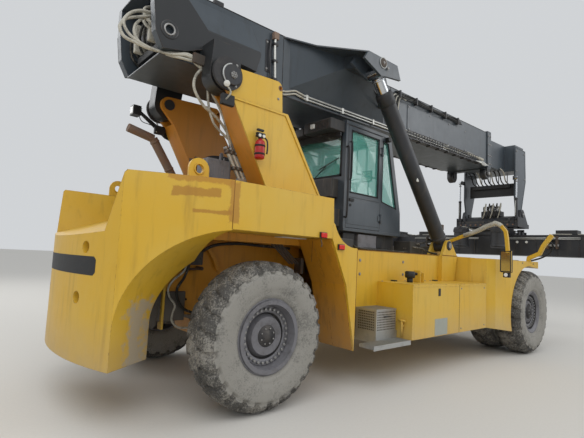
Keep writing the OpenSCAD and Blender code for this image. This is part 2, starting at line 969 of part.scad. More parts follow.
// Thick cheek on the heel's side; its upper part leans in towards the boom
module heel_cheek() {
    out_y = tower_in_y - run;
    bend_z = 4335;
    lean = 0.247;
    top = boom_z1;
    difference() {
        slab_y(boom_y - 1, out_y)
            polygon([[heel_x, top], [heel_x, 4438], [-1122, 4117], [-1026, 3935], [-754, 3989],
                [-431, 4131], [268, 4065], [344, 4314], [193, top]]);
        intersection() {
            slab_y(boom_y - 10, out_y + 10)
                polygon([[-450, bend_z], [500, bend_z], [500, top + 10], [-930, top + 10]]);
            translate([-1300, 0, 0])
                rotate([90, 0, 90])
                    linear_extrude(2000)
                        polygon([[out_y, bend_z - 1], [out_y + 20, bend_z - 1], [out_y + 20, top + 20],
                            [out_y - lean * (top + 20 - bend_z), top + 20]]);
        }
        bar_y(-958, 4174, out_y - 50, out_y + 10, 100);
    }
}

// The wing on the boom's side that holds the top of a lift cylinder between two plates
wing_in = 105;
wing_plate = 40;
module lift_wing() {
    in_y = boom_y - 10;
    out_y = lift_y + wing_in + wing_plate;
    body_y = lift_y - wing_in;
    for (y = [body_y - wing_plate, lift_y + wing_in])
        slab_y(y, y + wing_plate)
            polygon([[1780, 4650], [2500, 4650], [2590, 4440], [2260, 4400], [2090, 4370],
                [1690, 4520]]);
    // Body whose underside rises from the boom's lower edge
    wing_prism([[900, in_y], [1790, 800], [1790, body_y - 1], [2500, body_y - 1], [3200, in_y]],
        [[in_y, 4035], [in_y, 4780], [body_y, 4693], [body_y, 4470], [800, 4530]]);
    // Sloping top plate
    wing_prism([[760, in_y], [1260, 700], [1790, out_y], [2500, out_y], [3100, in_y]],
        [[in_y, 4770], [in_y, 4790], [out_y, 4655], [out_y, 4635]]);
}

// What a plan in X and Y and a section in Y and Z have in common
module wing_prism(plan, section) {
    intersection() {
        translate([0, 0, 3500])
            linear_extrude(2000)
                polygon(plan);
        translate([500, 0, 0])
            rotate([90, 0, 90])
                linear_extrude(3000)
                    polygon(section);
    }
}

module boom_inner() {
    w = boom_wall;
    color(slate)
        boom_frame() {
            difference() {
                box([-300, -inner_y, inner_z0], [head_x0 + 100, inner_y, inner_z1]);
                box([-310, -inner_y + w, inner_z0 + w], [head_x0 + 60, inner_y - w, inner_z1 - w]);
            }
            box([head_x0 + 60, -head_y + 30, inner_z0], [head_x1 - 40, head_y - 30, inner_z1]);
        }
    color(slate)
        machine_frame()
            both_sides()
                difference() {
                    slab_y(head_y - 40, head_y)
                        union() {
                            polygon([[head_x0, 4850], [head_x1, 4850], [9430, 3990], [9130, 3110],
                                [8810, 3110], [head_x0, 3500]]);
                            translate([tilt_x, tilt_z])
                                circle(170, $fn = 64);
                        }
                    bar_y(tilt_x, tilt_z, head_y - 100, head_y + 100, 100);
                }
}

// Hydraulic pipes along the lower edge of the outer boom, held by clamps
module boom_pipes() {
    pipe_d = 28;
    x0 = 1200;
    x1 = 5400;
    color(steel)
        boom_frame()
            both_sides() {
                for (z = [boom_z0 + 62, boom_z0 + 108])
                    translate([x0, boom_y + 24, z])
                        rotate([0, 90, 0])
                            cylinder(d = pipe_d, h = x1 - x0, $fn = 24);
                for (x = [x0 + 40 : 800 : x1 - 60])
                    box([x, boom_y, boom_z0 + 40], [x + 40, boom_y + 44, boom_z0 + 128]);
            }
}

// Lift cylinders

lift_dir = [lift_top_x - lift_low_x, 0, lift_top_z - lift_low_z];
lift_len = norm(lift_dir);
lift_turn = atan2(lift_dir[0], lift_dir[2]);
barrel_top = lift_len - 330;

module lift_frame(side) {
    machine_frame()
        on_side(side)
            translate([lift_low_x, lift_y, lift_low_z])
                rotate([0, lift_turn, 0])
                    children();
}

module lift_barrel(side) {
    eye_w = 198;
    color(black)
        lift_frame(side)
            difference() {
                union() {
                    translate([0, 0, 150])
                        cylinder(d = barrel_d, h = barrel_top - 150, $fn = 64);
                    bar_y(0, 0, -eye_w / 2, eye_w / 2, 220);
                    translate([0, 0, 60])
                        cylinder(d = 170, h = 100, $fn = 48);
                }
                bar_y(0, 0, -200, 200, 110);
                translate([0, 0, 240])
                    cylinder(d = rod_d + 2 * fit, h = lift_len, $fn = 64);
            }
}

module lift_rod(side) {
    eye_w = 2 * (wing_in - seat);
    color(steel)
        lift_frame(side) {
            translate([0, 0, 260])
                cylinder(d = rod_d, h = lift_len - 260 - 80, $fn = 64);
            bar_y(0, lift_len, -eye_w / 2, eye_w / 2, 200);
        }
}

// Spreader gear

module tilt_yoke() {
    color(black)
        machine_frame()
            difference() {
                union() {
                    both_sides()
                        slab_y(head_y + run, head_y + 90)
                            hull() {
                                translate([tilt_x, tilt_z])
                                    circle(130, $fn = 48);
                                translate([slew_x - 230, 2760])
                                    square([560, 60]);
                            }
                    box([slew_x - 420, -head_y - 90, 2700], [slew_x + 420, head_y + 90, 2810]);
                    // Hump between the head's plates
                    slab_y(-600, 600)
                        polygon([for (c = [[-360, 2800], [-240, 2960], [-100, 3010], [100, 3010],
                            [240, 2960], [360, 2800]]) [slew_x + c[0], c[1]]]);
                    bar_y(tilt_x, tilt_z, -head_y - 110, -head_y + 60, 100 - 2 * fit);
                    bar_y(tilt_x, tilt_z, head_y - 60, head_y + 110, 100 - 2 * fit);
                    both_sides() {
                        for (y = [damper_y - 65, damper_y + 40])
                            slab_y(y, y + 25)
                                polygon([[damper_x - 60, damper_low_z + 50],
                                    [damper_x + 60, damper_low_z + 50], [damper_x + 100, 2700],
                                    [damper_x - 60, 2700]]);
                        box([damper_x - 60, damper_y - 65, 2700], [damper_x + 100, damper_y + 65, 2760]);
                        bar_y(damper_x, damper_low_z, damper_y - 64, damper_y + 64, 40 - 2 * fit);
                    }
                }
            }
}

// Tilt dampers beside the head: barrels on the yoke, rods that reach up to the inner boom
damper_x = slew_x - 380;
damper_y = head_y + 60;
damper_low_z = 2900;
damper_top_z = 3980;
module damper_barrels() {
    color(black)
        machine_frame()
            both_sides()
                difference() {
                    union() {
                        translate([damper_x, damper_y, damper_low_z + 40])
                            cylinder(d = 70, h = 520, $fn = 48);
                        bar_y(damper_x, damper_low_z, damper_y - 25, damper_y + 25, 100);
                    }
                    bar_y(damper_x, damper_low_z, damper_y - 50, damper_y + 50, 40);
                    translate([damper_x, damper_y, damper_low_z + 80])
                        cylinder(d = 40 + 2 * fit, h = 600, $fn = 48);
                }
}

module damper_rods() {
    color(steel)
        machine_frame()
            both_sides() {
                translate([damper_x, damper_y, damper_low_z + 455])
                    cylinder(d = 40, h = damper_top_z - damper_low_z - 485, $fn = 48);
                bar_y(damper_x, damper_top_z, damper_y - 25, damper_y + 25, 90);
            }
}

module slew_frame() {
    color(black)
        machine_frame() {
            translate([slew_x, 0, 2600])
                cylinder(d = 900, h = 100 - seat, $fn = 96);
            box([slew_x - 430, -700, beam_top_z + seat], [slew_x + 430, 700, 2601]);
            // Drums on arms behind it
            both_sides() {
                box([slew_x - 1000, 370, 2520], [slew_x - 429, 630, 2600]);
                translate([slew_x - 800, 500, 2120])
                    cylinder(d = 380, h = 540, $fn = 48);
            }
        }
}

module spreader_frame() {
    half = spreader_half - 729;
    color(black)
        machine_frame()
            difference() {
                box([slew_x - 400, -half, 1960], [slew_x + 400, half, beam_top_z]);
                for (x = [slew_x - 370, slew_x + 30])
                    box([x, -half - 10, 2000], [x + 340, half + 10, beam_top_z - 40]);
            }
}

module spreader_arm(side) {
    beam_y = spreader_half - 200;
    in_y = spreader_half - 829;
    x0 = side == "left" ? slew_x - 370 + run : slew_x + 30 + run;
    color(black)
        machine_frame()
            on_side(side) {
                box([x0, -in_y, 2000 + seat], [x0 + 340 - 2 * run, beam_y + 11, beam_top_z - 40 - run]);
                box([slew_x - end_beam_len / 2, beam_y, 2060],
                    [slew_x + end_beam_len / 2, spreader_half, 2540]);
                for (x = [slew_x - lock_x, slew_x + lock_x]) {
                    box([x - 85, lock_y - 85, lock_z + 90], [x + 85, lock_y + 85, 2061]);
                    translate([x, lock_y, lock_z])
                        cylinder(d = lock_d, h = 91, $fn = 48);
                }
            }
}

counterweight();
rear_fenders();
mudguards();
rear_frame();
main_frame();
front_frame();
lift_lugs();
boom_towers();
boom_pins();
engine_block();
engine_hood();
exhaust_pipe();
side_tanks();
steps();
front_fenders();
drive_axle();
steer_axle();
cab_shell();
cab_glass();
cab_interior();
work_lamp();
mirrors();
tower_pipes();
cab_door("left");  // cab_door_left
cab_door("right");  // cab_door_right
door_glass("left");  // door_glass_left
door_glass("right");  // door_glass_right
knuckle("left");  // knuckle_left
knuckle("right");  // knuckle_right
rear_tyre("left");  // rear_tyre_left
rear_tyre("right");  // rear_tyre_right
rear_rim("left");  // rear_rim_left
rear_rim("right");  // rear_rim_right
front_tyres("left");  // front_tyres_left
front_tyres("right");  // front_tyres_right
front_hub("left");  // front_hub_left
front_hub("right");  // front_hub_right
boom_outer();
boom_inner();
boom_pipes();
cab_base();
lift_barrel("left");  // lift_barrel_left
lift_barrel("right");  // lift_barrel_right
lift_rod("left");  // lift_rod_left
lift_rod("right");  // lift_rod_right
tilt_yoke();
damper_barrels();
damper_rods();
slew_frame();
spreader_frame();
spreader_arm("left");  // spreader_arm_left
spreader_arm("right");  // spreader_arm_right
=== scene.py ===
"""Dresses the reach stacker's frame with its tyres, hoses, lamps, seams and finishes."""

import json
import math
import random

import bmesh
import bpy
from mathutils import Matrix, Vector


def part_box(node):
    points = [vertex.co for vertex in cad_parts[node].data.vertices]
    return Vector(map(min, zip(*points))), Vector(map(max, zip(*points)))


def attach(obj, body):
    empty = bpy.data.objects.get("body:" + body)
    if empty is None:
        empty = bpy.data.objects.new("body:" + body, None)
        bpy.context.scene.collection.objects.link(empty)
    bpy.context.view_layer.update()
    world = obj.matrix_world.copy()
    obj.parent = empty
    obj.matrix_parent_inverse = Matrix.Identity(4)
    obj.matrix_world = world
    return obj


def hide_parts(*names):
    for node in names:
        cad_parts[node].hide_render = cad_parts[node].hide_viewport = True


bl_info = {
    "name": "Reach Stacker Looks",
    "version": (1, 0, 0),
    "blender": (4, 5, 0),
    "location": "View3D > Sidebar > Reach Stacker",
    "description": "Builds the visible surfaces of a reach stacker around its construction model",
    "category": "Object",
}

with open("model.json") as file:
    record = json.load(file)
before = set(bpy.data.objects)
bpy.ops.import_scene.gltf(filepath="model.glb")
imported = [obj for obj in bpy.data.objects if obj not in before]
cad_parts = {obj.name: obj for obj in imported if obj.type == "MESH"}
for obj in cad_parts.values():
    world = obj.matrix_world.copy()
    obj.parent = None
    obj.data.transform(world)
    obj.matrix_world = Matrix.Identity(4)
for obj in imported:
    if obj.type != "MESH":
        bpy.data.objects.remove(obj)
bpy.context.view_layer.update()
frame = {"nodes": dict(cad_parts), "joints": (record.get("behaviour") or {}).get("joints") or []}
JOINTS = {joint["name"]: joint for joint in frame["joints"]}

# Places that the frame gives: the rear axle, from which lengths along the machine are counted
REAR_AXLE_X = JOINTS["rear_wheel_left"]["pos_m"][0]
WHEELBASE = JOINTS["front_wheel_left"]["pos_m"][0] - REAR_AXLE_X
AXLE_Z = JOINTS["rear_wheel_left"]["pos_m"][2]
PIVOT = Vector(JOINTS["boom_luff"]["pos_m"])
BOOM_DIR = Vector(JOINTS["boom_telescope"]["axis"])
PARKED_LUFF = math.atan2(BOOM_DIR.z, BOOM_DIR.x)
MM = 0.001
SIDES = (("left", 1), ("right", -1))

PHOTO_W = 584
CAMERA_FOCAL_PX = 414.86
CAMERA_FROM_REAR_AXLE = (-2.8234, -4.9929, 1.6762)
CAMERA_YAW, CAMERA_PITCH, CAMERA_ROLL = 48.797, 4.924, 2.934


def at(x, y, z):
    """A point of the frame, with x counted from the rear axle."""
    return Vector((x + REAR_AXLE_X, y, z))


def on_boom(x, y, up):
    """A point of the parked boom: x from the rear axle as if level, up from the pivot's height."""
    flat = Vector((x + REAR_AXLE_X - PIVOT.x, y, up))
    return Matrix.Translation(PIVOT) @ Matrix.Rotation(-PARKED_LUFF, 4, "Y") @ flat


# Sizes and colours that a user would change


class SizeSettings(bpy.types.PropertyGroup):
    """Sizes of the pieces that this script adds."""

    lug_count: bpy.props.IntProperty(name="Tread lugs", description="Lugs round one shoulder of a tyre",
        default=26, min=12, max=40)
    lug_depth: bpy.props.FloatProperty(name="Tread depth", description="Depth of the worn tread",
        default=0.030, unit="LENGTH")
    bolt_count: bpy.props.IntProperty(name="Rim bolts", description="Bolts in the ring of one rim",
        default=30, min=8, max=48)


def colour_property(name, description, hex_value):
    """A colour setting whose default is given as sRGB hex."""
    return bpy.props.FloatVectorProperty(name=name, description=description, subtype="COLOR", size=3, min=0,
        max=1, default=to_linear(hex_value)[:3])


def to_linear(hex_value):
    """sRGB hex, such as c8a030, as a linear colour with alpha 1."""
    parts = [int(hex_value[i : i + 2], 16) / 255 for i in (0, 2, 4)]
    line = [p / 12.92 if p <= 0.04045 else ((p + 0.055) / 1.055) ** 2.4 for p in parts]
    return (*line, 1.0)


class ColourSettings(bpy.types.PropertyGroup):
    """Main paints of the machine."""

    body_yellow: colour_property("Body yellow", "Enamel of the chassis", "d3a727")
    boom_slate: colour_property("Boom slate", "Enamel of the boom and the cab", "3b434a")
    gear_black: colour_property("Gear black", "Enamel of the spreader and the axles", "26272a")


def sizes():
    return bpy.context.scene.stacker_sizes


def paints():
    return bpy.context.scene.stacker_paints


# Materials

MATERIALS = {}


def put(tree, kind, inputs=None, **settings):
    """Adds one shader node. An input is a value, or a pair of a node and one of its outputs."""
    node = tree.nodes.new("ShaderNode" + kind)
    for name, value in settings.items():
        setattr(node, name, value)
    for name, value in (inputs or {}).items():
        socket = node.inputs[name]
        if isinstance(value, tuple) and isinstance(value[0], bpy.types.Node):
            tree.links.new(value[0].outputs[value[1]], socket)
        else:
            socket.default_value = value
    return node


def new_material(name, roughness, metallic=0.0, ior=1.5, **sockets):
    """A material with its Principled shader, whose plain numbers sit on the shader's own sockets."""
    material = bpy.data.materials.new(name)
    material.use_nodes = True
    tree = material.node_tree
    shader = next(n for n in tree.nodes if n.type == "BSDF_PRINCIPLED")
    shader.inputs["Roughness"].default_value = roughness
    shader.inputs["Metallic"].default_value = metallic
    shader.inputs["IOR"].default_value = ior
    for key, value in sockets.items():
        shader.inputs[key.replace("_", " ")].default_value = value
    MATERIALS[name] = material
    return material, tree, shader


def feed(tree, node, output, shader, socket):
    """Links one output of a node to a socket of the shader."""
    tree.links.new(node.outputs[output], shader.inputs[socket])


def place_of(tree):
    """Object coordinates, which are the machine's own metres at rest."""
    return put(tree, "TexCoord")


def noise(tree, coord, size_mm, detail=4.0, rough=0.55, stretch=(1, 1, 1)):
    """Noise whose blotches are about size_mm across, drawn out by stretch."""
    scaled = put(tree, "Mapping", {"Vector": (coord, "Object"), "Scale": tuple(1 / s for s in stretch)})
    return put(tree, "TexNoise", {"Vector": (scaled, "Vector"), "Scale": 1000 / size_mm, "Detail": detail,
        "Roughness": rough})


def band(tree, source, low, high, output="Value"):
    """Fades from 0 to 1 as the source goes from low to high."""
    return put(tree, "MapRange", {"Value": (source, output), "From Min": low, "From Max": high},
        interpolation_type="SMOOTHSTEP")


def times(tree, first, second, operation="MULTIPLY"):
    """Combines two masks."""
    return put(tree, "Math", {0: first, 1: second}, operation=operation)


def blend_colour(tree, factor, first, second, mode="MIX"):
    """Mixes two colours, each a linear colour, sRGB hex or a pair of a node and its output."""
    node = put(tree, "Mix", data_type="RGBA", blend_type=mode, clamp_factor=True)
    for index, value in ((0, factor), (6, first), (7, second)):
        if isinstance(value, tuple) and isinstance(value[0], bpy.types.Node):
            tree.links.new(value[0].outputs[value[1]], node.inputs[index])
        else:
            node.inputs[index].default_value = to_linear(value) if isinstance(value, str) else value
    return node


def worn_edge(tree, coord, radius_mm):
    """A mask of the sharp edges, broken up by noise as paint chips are."""
    rounded = put(tree, "Bevel", {"Radius": radius_mm * MM}, samples=4)
    flat = put(tree, "NewGeometry")
    turned = put(tree, "VectorMath", {0: (rounded, "Normal"), 1: (flat, "Normal")}, operation="DOT_PRODUCT")
    edge = put(tree, "MapRange", {"Value": (turned, "Value"), "From Min": 0.995, "From Max": 0.90})
    chips = band(tree, noise(tree, coord, 60, 6, 0.7), 0.45, 0.62, "Fac")
    return times(tree, (edge, "Result"), (chips, "Result"))


def height_of(tree, coord):
    return put(tree, "SeparateXYZ", {"Vector": (coord, "Object")})


# Brown stains on the right side and grey scuffs in the wheel bays: lowest and highest corner from the
# rear axle, colour, how ragged the edge is
STAINS = (
    ((-1.12, -1.60, 2.190), (-0.71, -1.25, 2.275), "a4701f", 0.05),
    ((-0.94, -1.60, 2.030), (-0.59, -1.25, 2.068), "a4701f", 0.04),
    ((-0.625, -1.60, 1.960), (-0.515, -1.25, 2.370), "a87322", 0.06),
    ((-1.18, -1.60, 2.335), (-0.58, -1.25, 2.400), "b07a22", 0.06),
    ((-1.30, -1.52, 0.500), (-0.50, -0.84, 1.120), "a39d94", 0.30),
    ((-1.30, 0.84, 0.500), (-0.50, 1.52, 1.120), "a39d94", 0.30),
)


def stained(tree, coord, base):
    """Lays each stain over the base colour."""
    ragged = noise(tree, coord, 120, 7, 0.7)
    for low, high, colour, edge in STAINS:
        low, high = at(*low), at(*high)
        middle, half = (low + high) / 2, (high - low) / 2
        away = put(tree, "VectorMath", {0: (coord, "Object"), 1: tuple(middle)}, operation="SUBTRACT")
        away = put(tree, "VectorMath", {0: (away, "Vector")}, operation="ABSOLUTE")
        away = put(tree, "VectorMath", {0: (away, "Vector"), 1: tuple(half)}, operation="SUBTRACT")
        sides = put(tree, "SeparateXYZ", {"Vector": (away, "Vector")})
        most = times(tree, (sides, "X"), (sides, "Z"), "MAXIMUM")
        most = times(tree, (most, "Value"), (sides, "Y"), "MAXIMUM")
        blur = times(tree, (ragged, "Fac"), edge * 2)
        outer = times(tree, (most, "Value"), (blur, "Value"), "ADD")
        inside = put(tree, "MapRange", {"Value": (outer, "Value"), "From Min": edge * 0.9,
            "From Max": edge * 1.15, "To Min": 0.75, "To Max": 0.0})
        base = blend_colour(tree, (inside, "Result"), (base, "Result"), colour)
    return base


def painted_shade_inside(tree, coord, base, colour, limit):
    """Paints shade: a darker colour on what lies nearer to the centre line than limit, for inner faces that
    stay in shade.
    """
    apart = times(tree, (height_of(tree, coord), "Y"), 0.0, "ABSOLUTE")
    near = put(tree, "MapRange", {"Value": (apart, "Value"), "From Min": limit, "From Max": limit - 0.002})
    return blend_colour(tree, (near, "Result"), (base, "Result"), colour)


def black_lugs(tree, coord, base):
    """Black paint on the boom's pivot lugs, which stand out beyond its heel."""
    sides = height_of(tree, coord)
    apart = times(tree, (sides, "Y"), 0.0, "ABSOLUTE")
    out = times(tree, (apart, "Value"), 0.588, "GREATER_THAN")
    rear = times(tree, (sides, "X"), at(0.45, 0, 0).x, "LESS_THAN")
    both = times(tree, (out, "Value"), (rear, "Value"))
    return blend_colour(tree, (both, "Value"), (base, "Result"), "26282a")


def enamel(name, colour, faded, dirt, rust, roughness, dust_height, dust, streaks=0.35, stains=False,
           inner=None, lugs=False):
    """Sprayed enamel on steel plate: sun-faded in broad patches, dirt runs down from the top edges,
    road dust gathers near the ground and the edges are chipped down to primer and rust."""
    material, tree, shader = new_material(name, roughness, Coat_Weight=0.08, Coat_Roughness=0.35)
    coord = place_of(tree)
    patches = band(tree, noise(tree, coord, 900, 5, 0.6), 0.35, 0.72, "Fac")
    base = blend_colour(tree, (patches, "Result"), colour, faded)
    # Optional painted shade on the faces near the centre line
    if inner:
        base = painted_shade_inside(tree, coord, base, *inner)
    runs = band(tree, noise(tree, coord, 90, 5, 0.6, (1, 1, 9)), 0.50, 0.78, "Fac")
    runs = times(tree, (runs, "Result"), streaks)
    base = blend_colour(tree, (runs, "Value"), (base, "Result"), dirt)
    specks = band(tree, noise(tree, coord, 25, 8, 0.75), 0.60, 0.74, "Fac")
    specks = times(tree, (specks, "Result"), 0.30)
    base = blend_colour(tree, (specks, "Value"), (base, "Result"), dirt)
    height = height_of(tree, coord)
    low = put(tree, "MapRange", {"Value": (height, "Z"), "From Min": dust_height, "From Max": 0.45,
        "To Max": 1.0})
    ground = times(tree, (low, "Result"), (noise(tree, coord, 350, 6, 0.65), "Fac"))
    base = blend_colour(tree, (ground, "Value"), (base, "Result"), dust)
    if stains:
        base = stained(tree, coord, base)
    if lugs:
        base = black_lugs(tree, coord, base)
    edge = worn_edge(tree, coord, 9)
    base = blend_colour(tree, (edge, "Value"), (base, "Result"), rust)
    feed(tree, base, "Result", shader, "Base Color")
    rough = put(tree, "MapRange", {"Value": (noise(tree, coord, 140, 5, 0.6), "Fac"),
        "To Min": roughness - 0.08, "To Max": roughness + 0.16})
    feed(tree, rough, "Result", shader, "Roughness")
    dents = put(tree, "Bump", {"Height": (noise(tree, coord, 260, 3, 0.5), "Fac"), "Strength": 0.35,
        "Distance": 3 * MM})
    peel = put(tree, "Bump", {"Height": (noise(tree, coord, 14, 3, 0.5), "Fac"), "Normal": (dents, "Normal"),
        "Strength": 0.12, "Distance": 1 * MM})
    soft = put(tree, "Bevel", {"Radius": 7 * MM, "Normal": (peel, "Normal")}, samples=4)
    feed(tree, soft, "Normal", shader, "Normal")
    return material


def dusty_rubber(name, colour, dust, amount, roughness=0.86):
    """Tyre rubber, moulded and then rolled in limestone dust that stays pale in every hollow."""
    material, tree, shader = new_material(name, roughness, ior=1.52)
    coord = place_of(tree)
    cover = noise(tree, coord, 260, 8, 0.65)
    grain = noise(tree, coord, 18, 6, 0.7)
    both = times(tree, (cover, "Fac"), (grain, "Fac"), "ADD")
    mask = put(tree, "MapRange", {"Value": (both, "Value"), "From Min": 1.25 - amount,
        "From Max": 1.55 - amount}, interpolation_type="SMOOTHSTEP")
    base = blend_colour(tree, (mask, "Result"), colour, dust)
    feed(tree, base, "Result", shader, "Base Color")
    bump = put(tree, "Bump", {"Height": (grain, "Fac"), "Strength": 0.5, "Distance": 2 * MM})
    feed(tree, bump, "Normal", shader, "Normal")
    return material


def plain_finish(name, colour, roughness, metallic=0.0, grit_mm=20, change=0.25, dirt="4a4238"):
    """A small part's finish: one colour, dulled unevenly by handling and dust."""
    material, tree, shader = new_material(name, roughness, metallic)
    coord = place_of(tree)
    blotch = noise(tree, coord, grit_mm * 6, 6, 0.65)
    mask = band(tree, blotch, 0.45, 0.75, "Fac")
    mask = times(tree, (mask, "Result"), change)
    base = blend_colour(tree, (mask, "Value"), colour, dirt)
    feed(tree, base, "Result", shader, "Base Color")
    rough = put(tree, "MapRange", {"Value": (blotch, "Fac"), "To Min": max(roughness - 0.1, 0.05),
        "To Max": min(roughness + 0.2, 1)})
    feed(tree, rough, "Result", shader, "Roughness")
    bump = put(tree, "Bump", {"Height": (noise(tree, coord, grit_mm, 4, 0.6), "Fac"), "Strength": 0.2,
        "Distance": 1 * MM})
    feed(tree, bump, "Normal", shader, "Normal")
    return material


def tinted_glass():
    """Tempered cab glass with a green-blue tint: clear, smooth, with a thin film of dust."""
    material, tree, shader = new_material("tinted_cab_glass", 0.06, ior=1.52)
    coord = place_of(tree)
    film = noise(tree, coord, 220, 6, 0.6)
    tint = blend_colour(tree, (film, "Fac"), "6fcfbf", "8fdccd")
    feed(tree, tint, "Result", shader, "Base Color")
    shader.inputs["Alpha"].default_value = 0.34
    shader.inputs["Specular IOR Level"].default_value = 0.9
    return material


def red_lens():
    """Moulded acrylic of a rear lamp: deep red, glossy, a little of the light passes."""
    material, tree, shader = new_material("red_lamp_acrylic", 0.18, ior=1.49)
    coord = place_of(tree)
    ribs = noise(tree, coord, 12, 2, 0.4)
    tint = blend_colour(tree, (ribs, "Fac"), "b41410", "e02a18")
    feed(tree, tint, "Result", shader, "Base Color")
    return material


def make_materials():
    """Every finish, named for what the real one is."""
    paint = paints()
    yellow = (*paint.body_yellow, 1)
    slate = (*paint.boom_slate, 1)
    black = (*paint.gear_black, 1)
    body = (yellow, "d2ac40", "8f6a22", "6b3f1e", 0.42, 1.0, "a8977c")
    enamel("yellow_enamel", *body)
    enamel("stained_yellow_enamel", *body, stains=True)
    # The towers' faces nearer the middle take a darker orange: painted shade on their inner faces
    enamel("tower_enamel_shaded_inside", *body, inner=("c98528", 0.922))
    # A darker copy of the body yellow: painted shade for the rear frame and the wheel bays' insides, with
    # more dust low down
    enamel("shaded_yellow_enamel", "c98a1e", "d0922a", "6e4a1c", "5a3419", 0.5, 1.3, "8d7f6c", 0.5)
    enamel("slate_enamel", slate, "454d54", "2a2b2b", "5c4a3e", 0.34, 0.6, "7a746b", 0.4, lugs=True)
    enamel("black_enamel", black, "33353a", "4c463d", "5a463a", 0.5, 0.9, "6f685f", 0.4)
    enamel("dusty_black_enamel", "2c2c2d", "47443f", "6a6256", "5a463a", 0.62, 1.6, "857d72", 0.7)
    dusty_rubber("tread_rubber", "474542", "8f8b83", 0.34)
    dusty_rubber("sidewall_rubber", "6d6b66", "908d86", 0.50)
    dusty_rubber("hose_rubber", "24231f", "8f897d", 0.22, 0.7)
    dusty_rubber("pale_hose_cover", "7c7a70", "b9b5a8", 0.5, 0.7)
    plain_finish("rim_enamel", "77767a", 0.55, 0.3, 26, 0.6, "3f3c38")
    plain_finish("dark_hub_iron", "3b3a3b", 0.6, 0.4, 30, 0.6, "77706a")
    plain_finish("bolt_steel", "9b9a98", 0.45, 0.8, 12, 0.5, "4a443c")
    plain_finish("hard_chrome", "c9ccd0", 0.14, 1.0, 30, 0.1, "8a8884")
    plain_finish("zinc_pipe", "c9c9c4", 0.36, 0.6, 24, 0.25, "7a6c58")
    plain_finish("rusted_exhaust", "857062", 0.85, 0.1, 22, 0.7, "96694c")
    plain_finish("mill_aluminium", "b4b5b3", 0.48, 0.85, 30, 0.35, "7b766c")
    plain_finish("moulded_plastic", "1c1d1f", 0.55, 0.0, 10, 0.3, "4b4843")
    plain_finish("seat_fabric", "26282c", 0.92, 0.0, 6, 0.3, "4b4843")
    plain_finish("bare_iron", "58514a", 0.7, 0.5, 30, 0.6, "7a5238")
    plain_finish("extinguisher_enamel", "a81a18", 0.3, 0.0, 40, 0.25, "5a1a14")
    plain_finish("blank_plate", "a3a69c", 0.55, 0.3, 20, 0.2, "8a8a80")
    plain_finish("lamp_glass", "e8eaea", 0.12, 0.0, 20, 0.1, "b8b6b0")
    plain_finish("mirror_silver", "c8ccd0", 0.05, 1.0, 40, 0.05, "a0a0a0")
    plain_finish("weld_bead", "8a5f22", 0.55, 0.2, 10, 0.5, "5a3a1a")
    plain_finish("black_rubber", "161617", 0.75, 0.0, 10, 0.3, "4b4843")
    plain_finish("dial_white", "d8d8d2", 0.5, 0.0, 20, 0.2, "9a968c")
    tinted_glass()
    red_lens()


# Mesh building


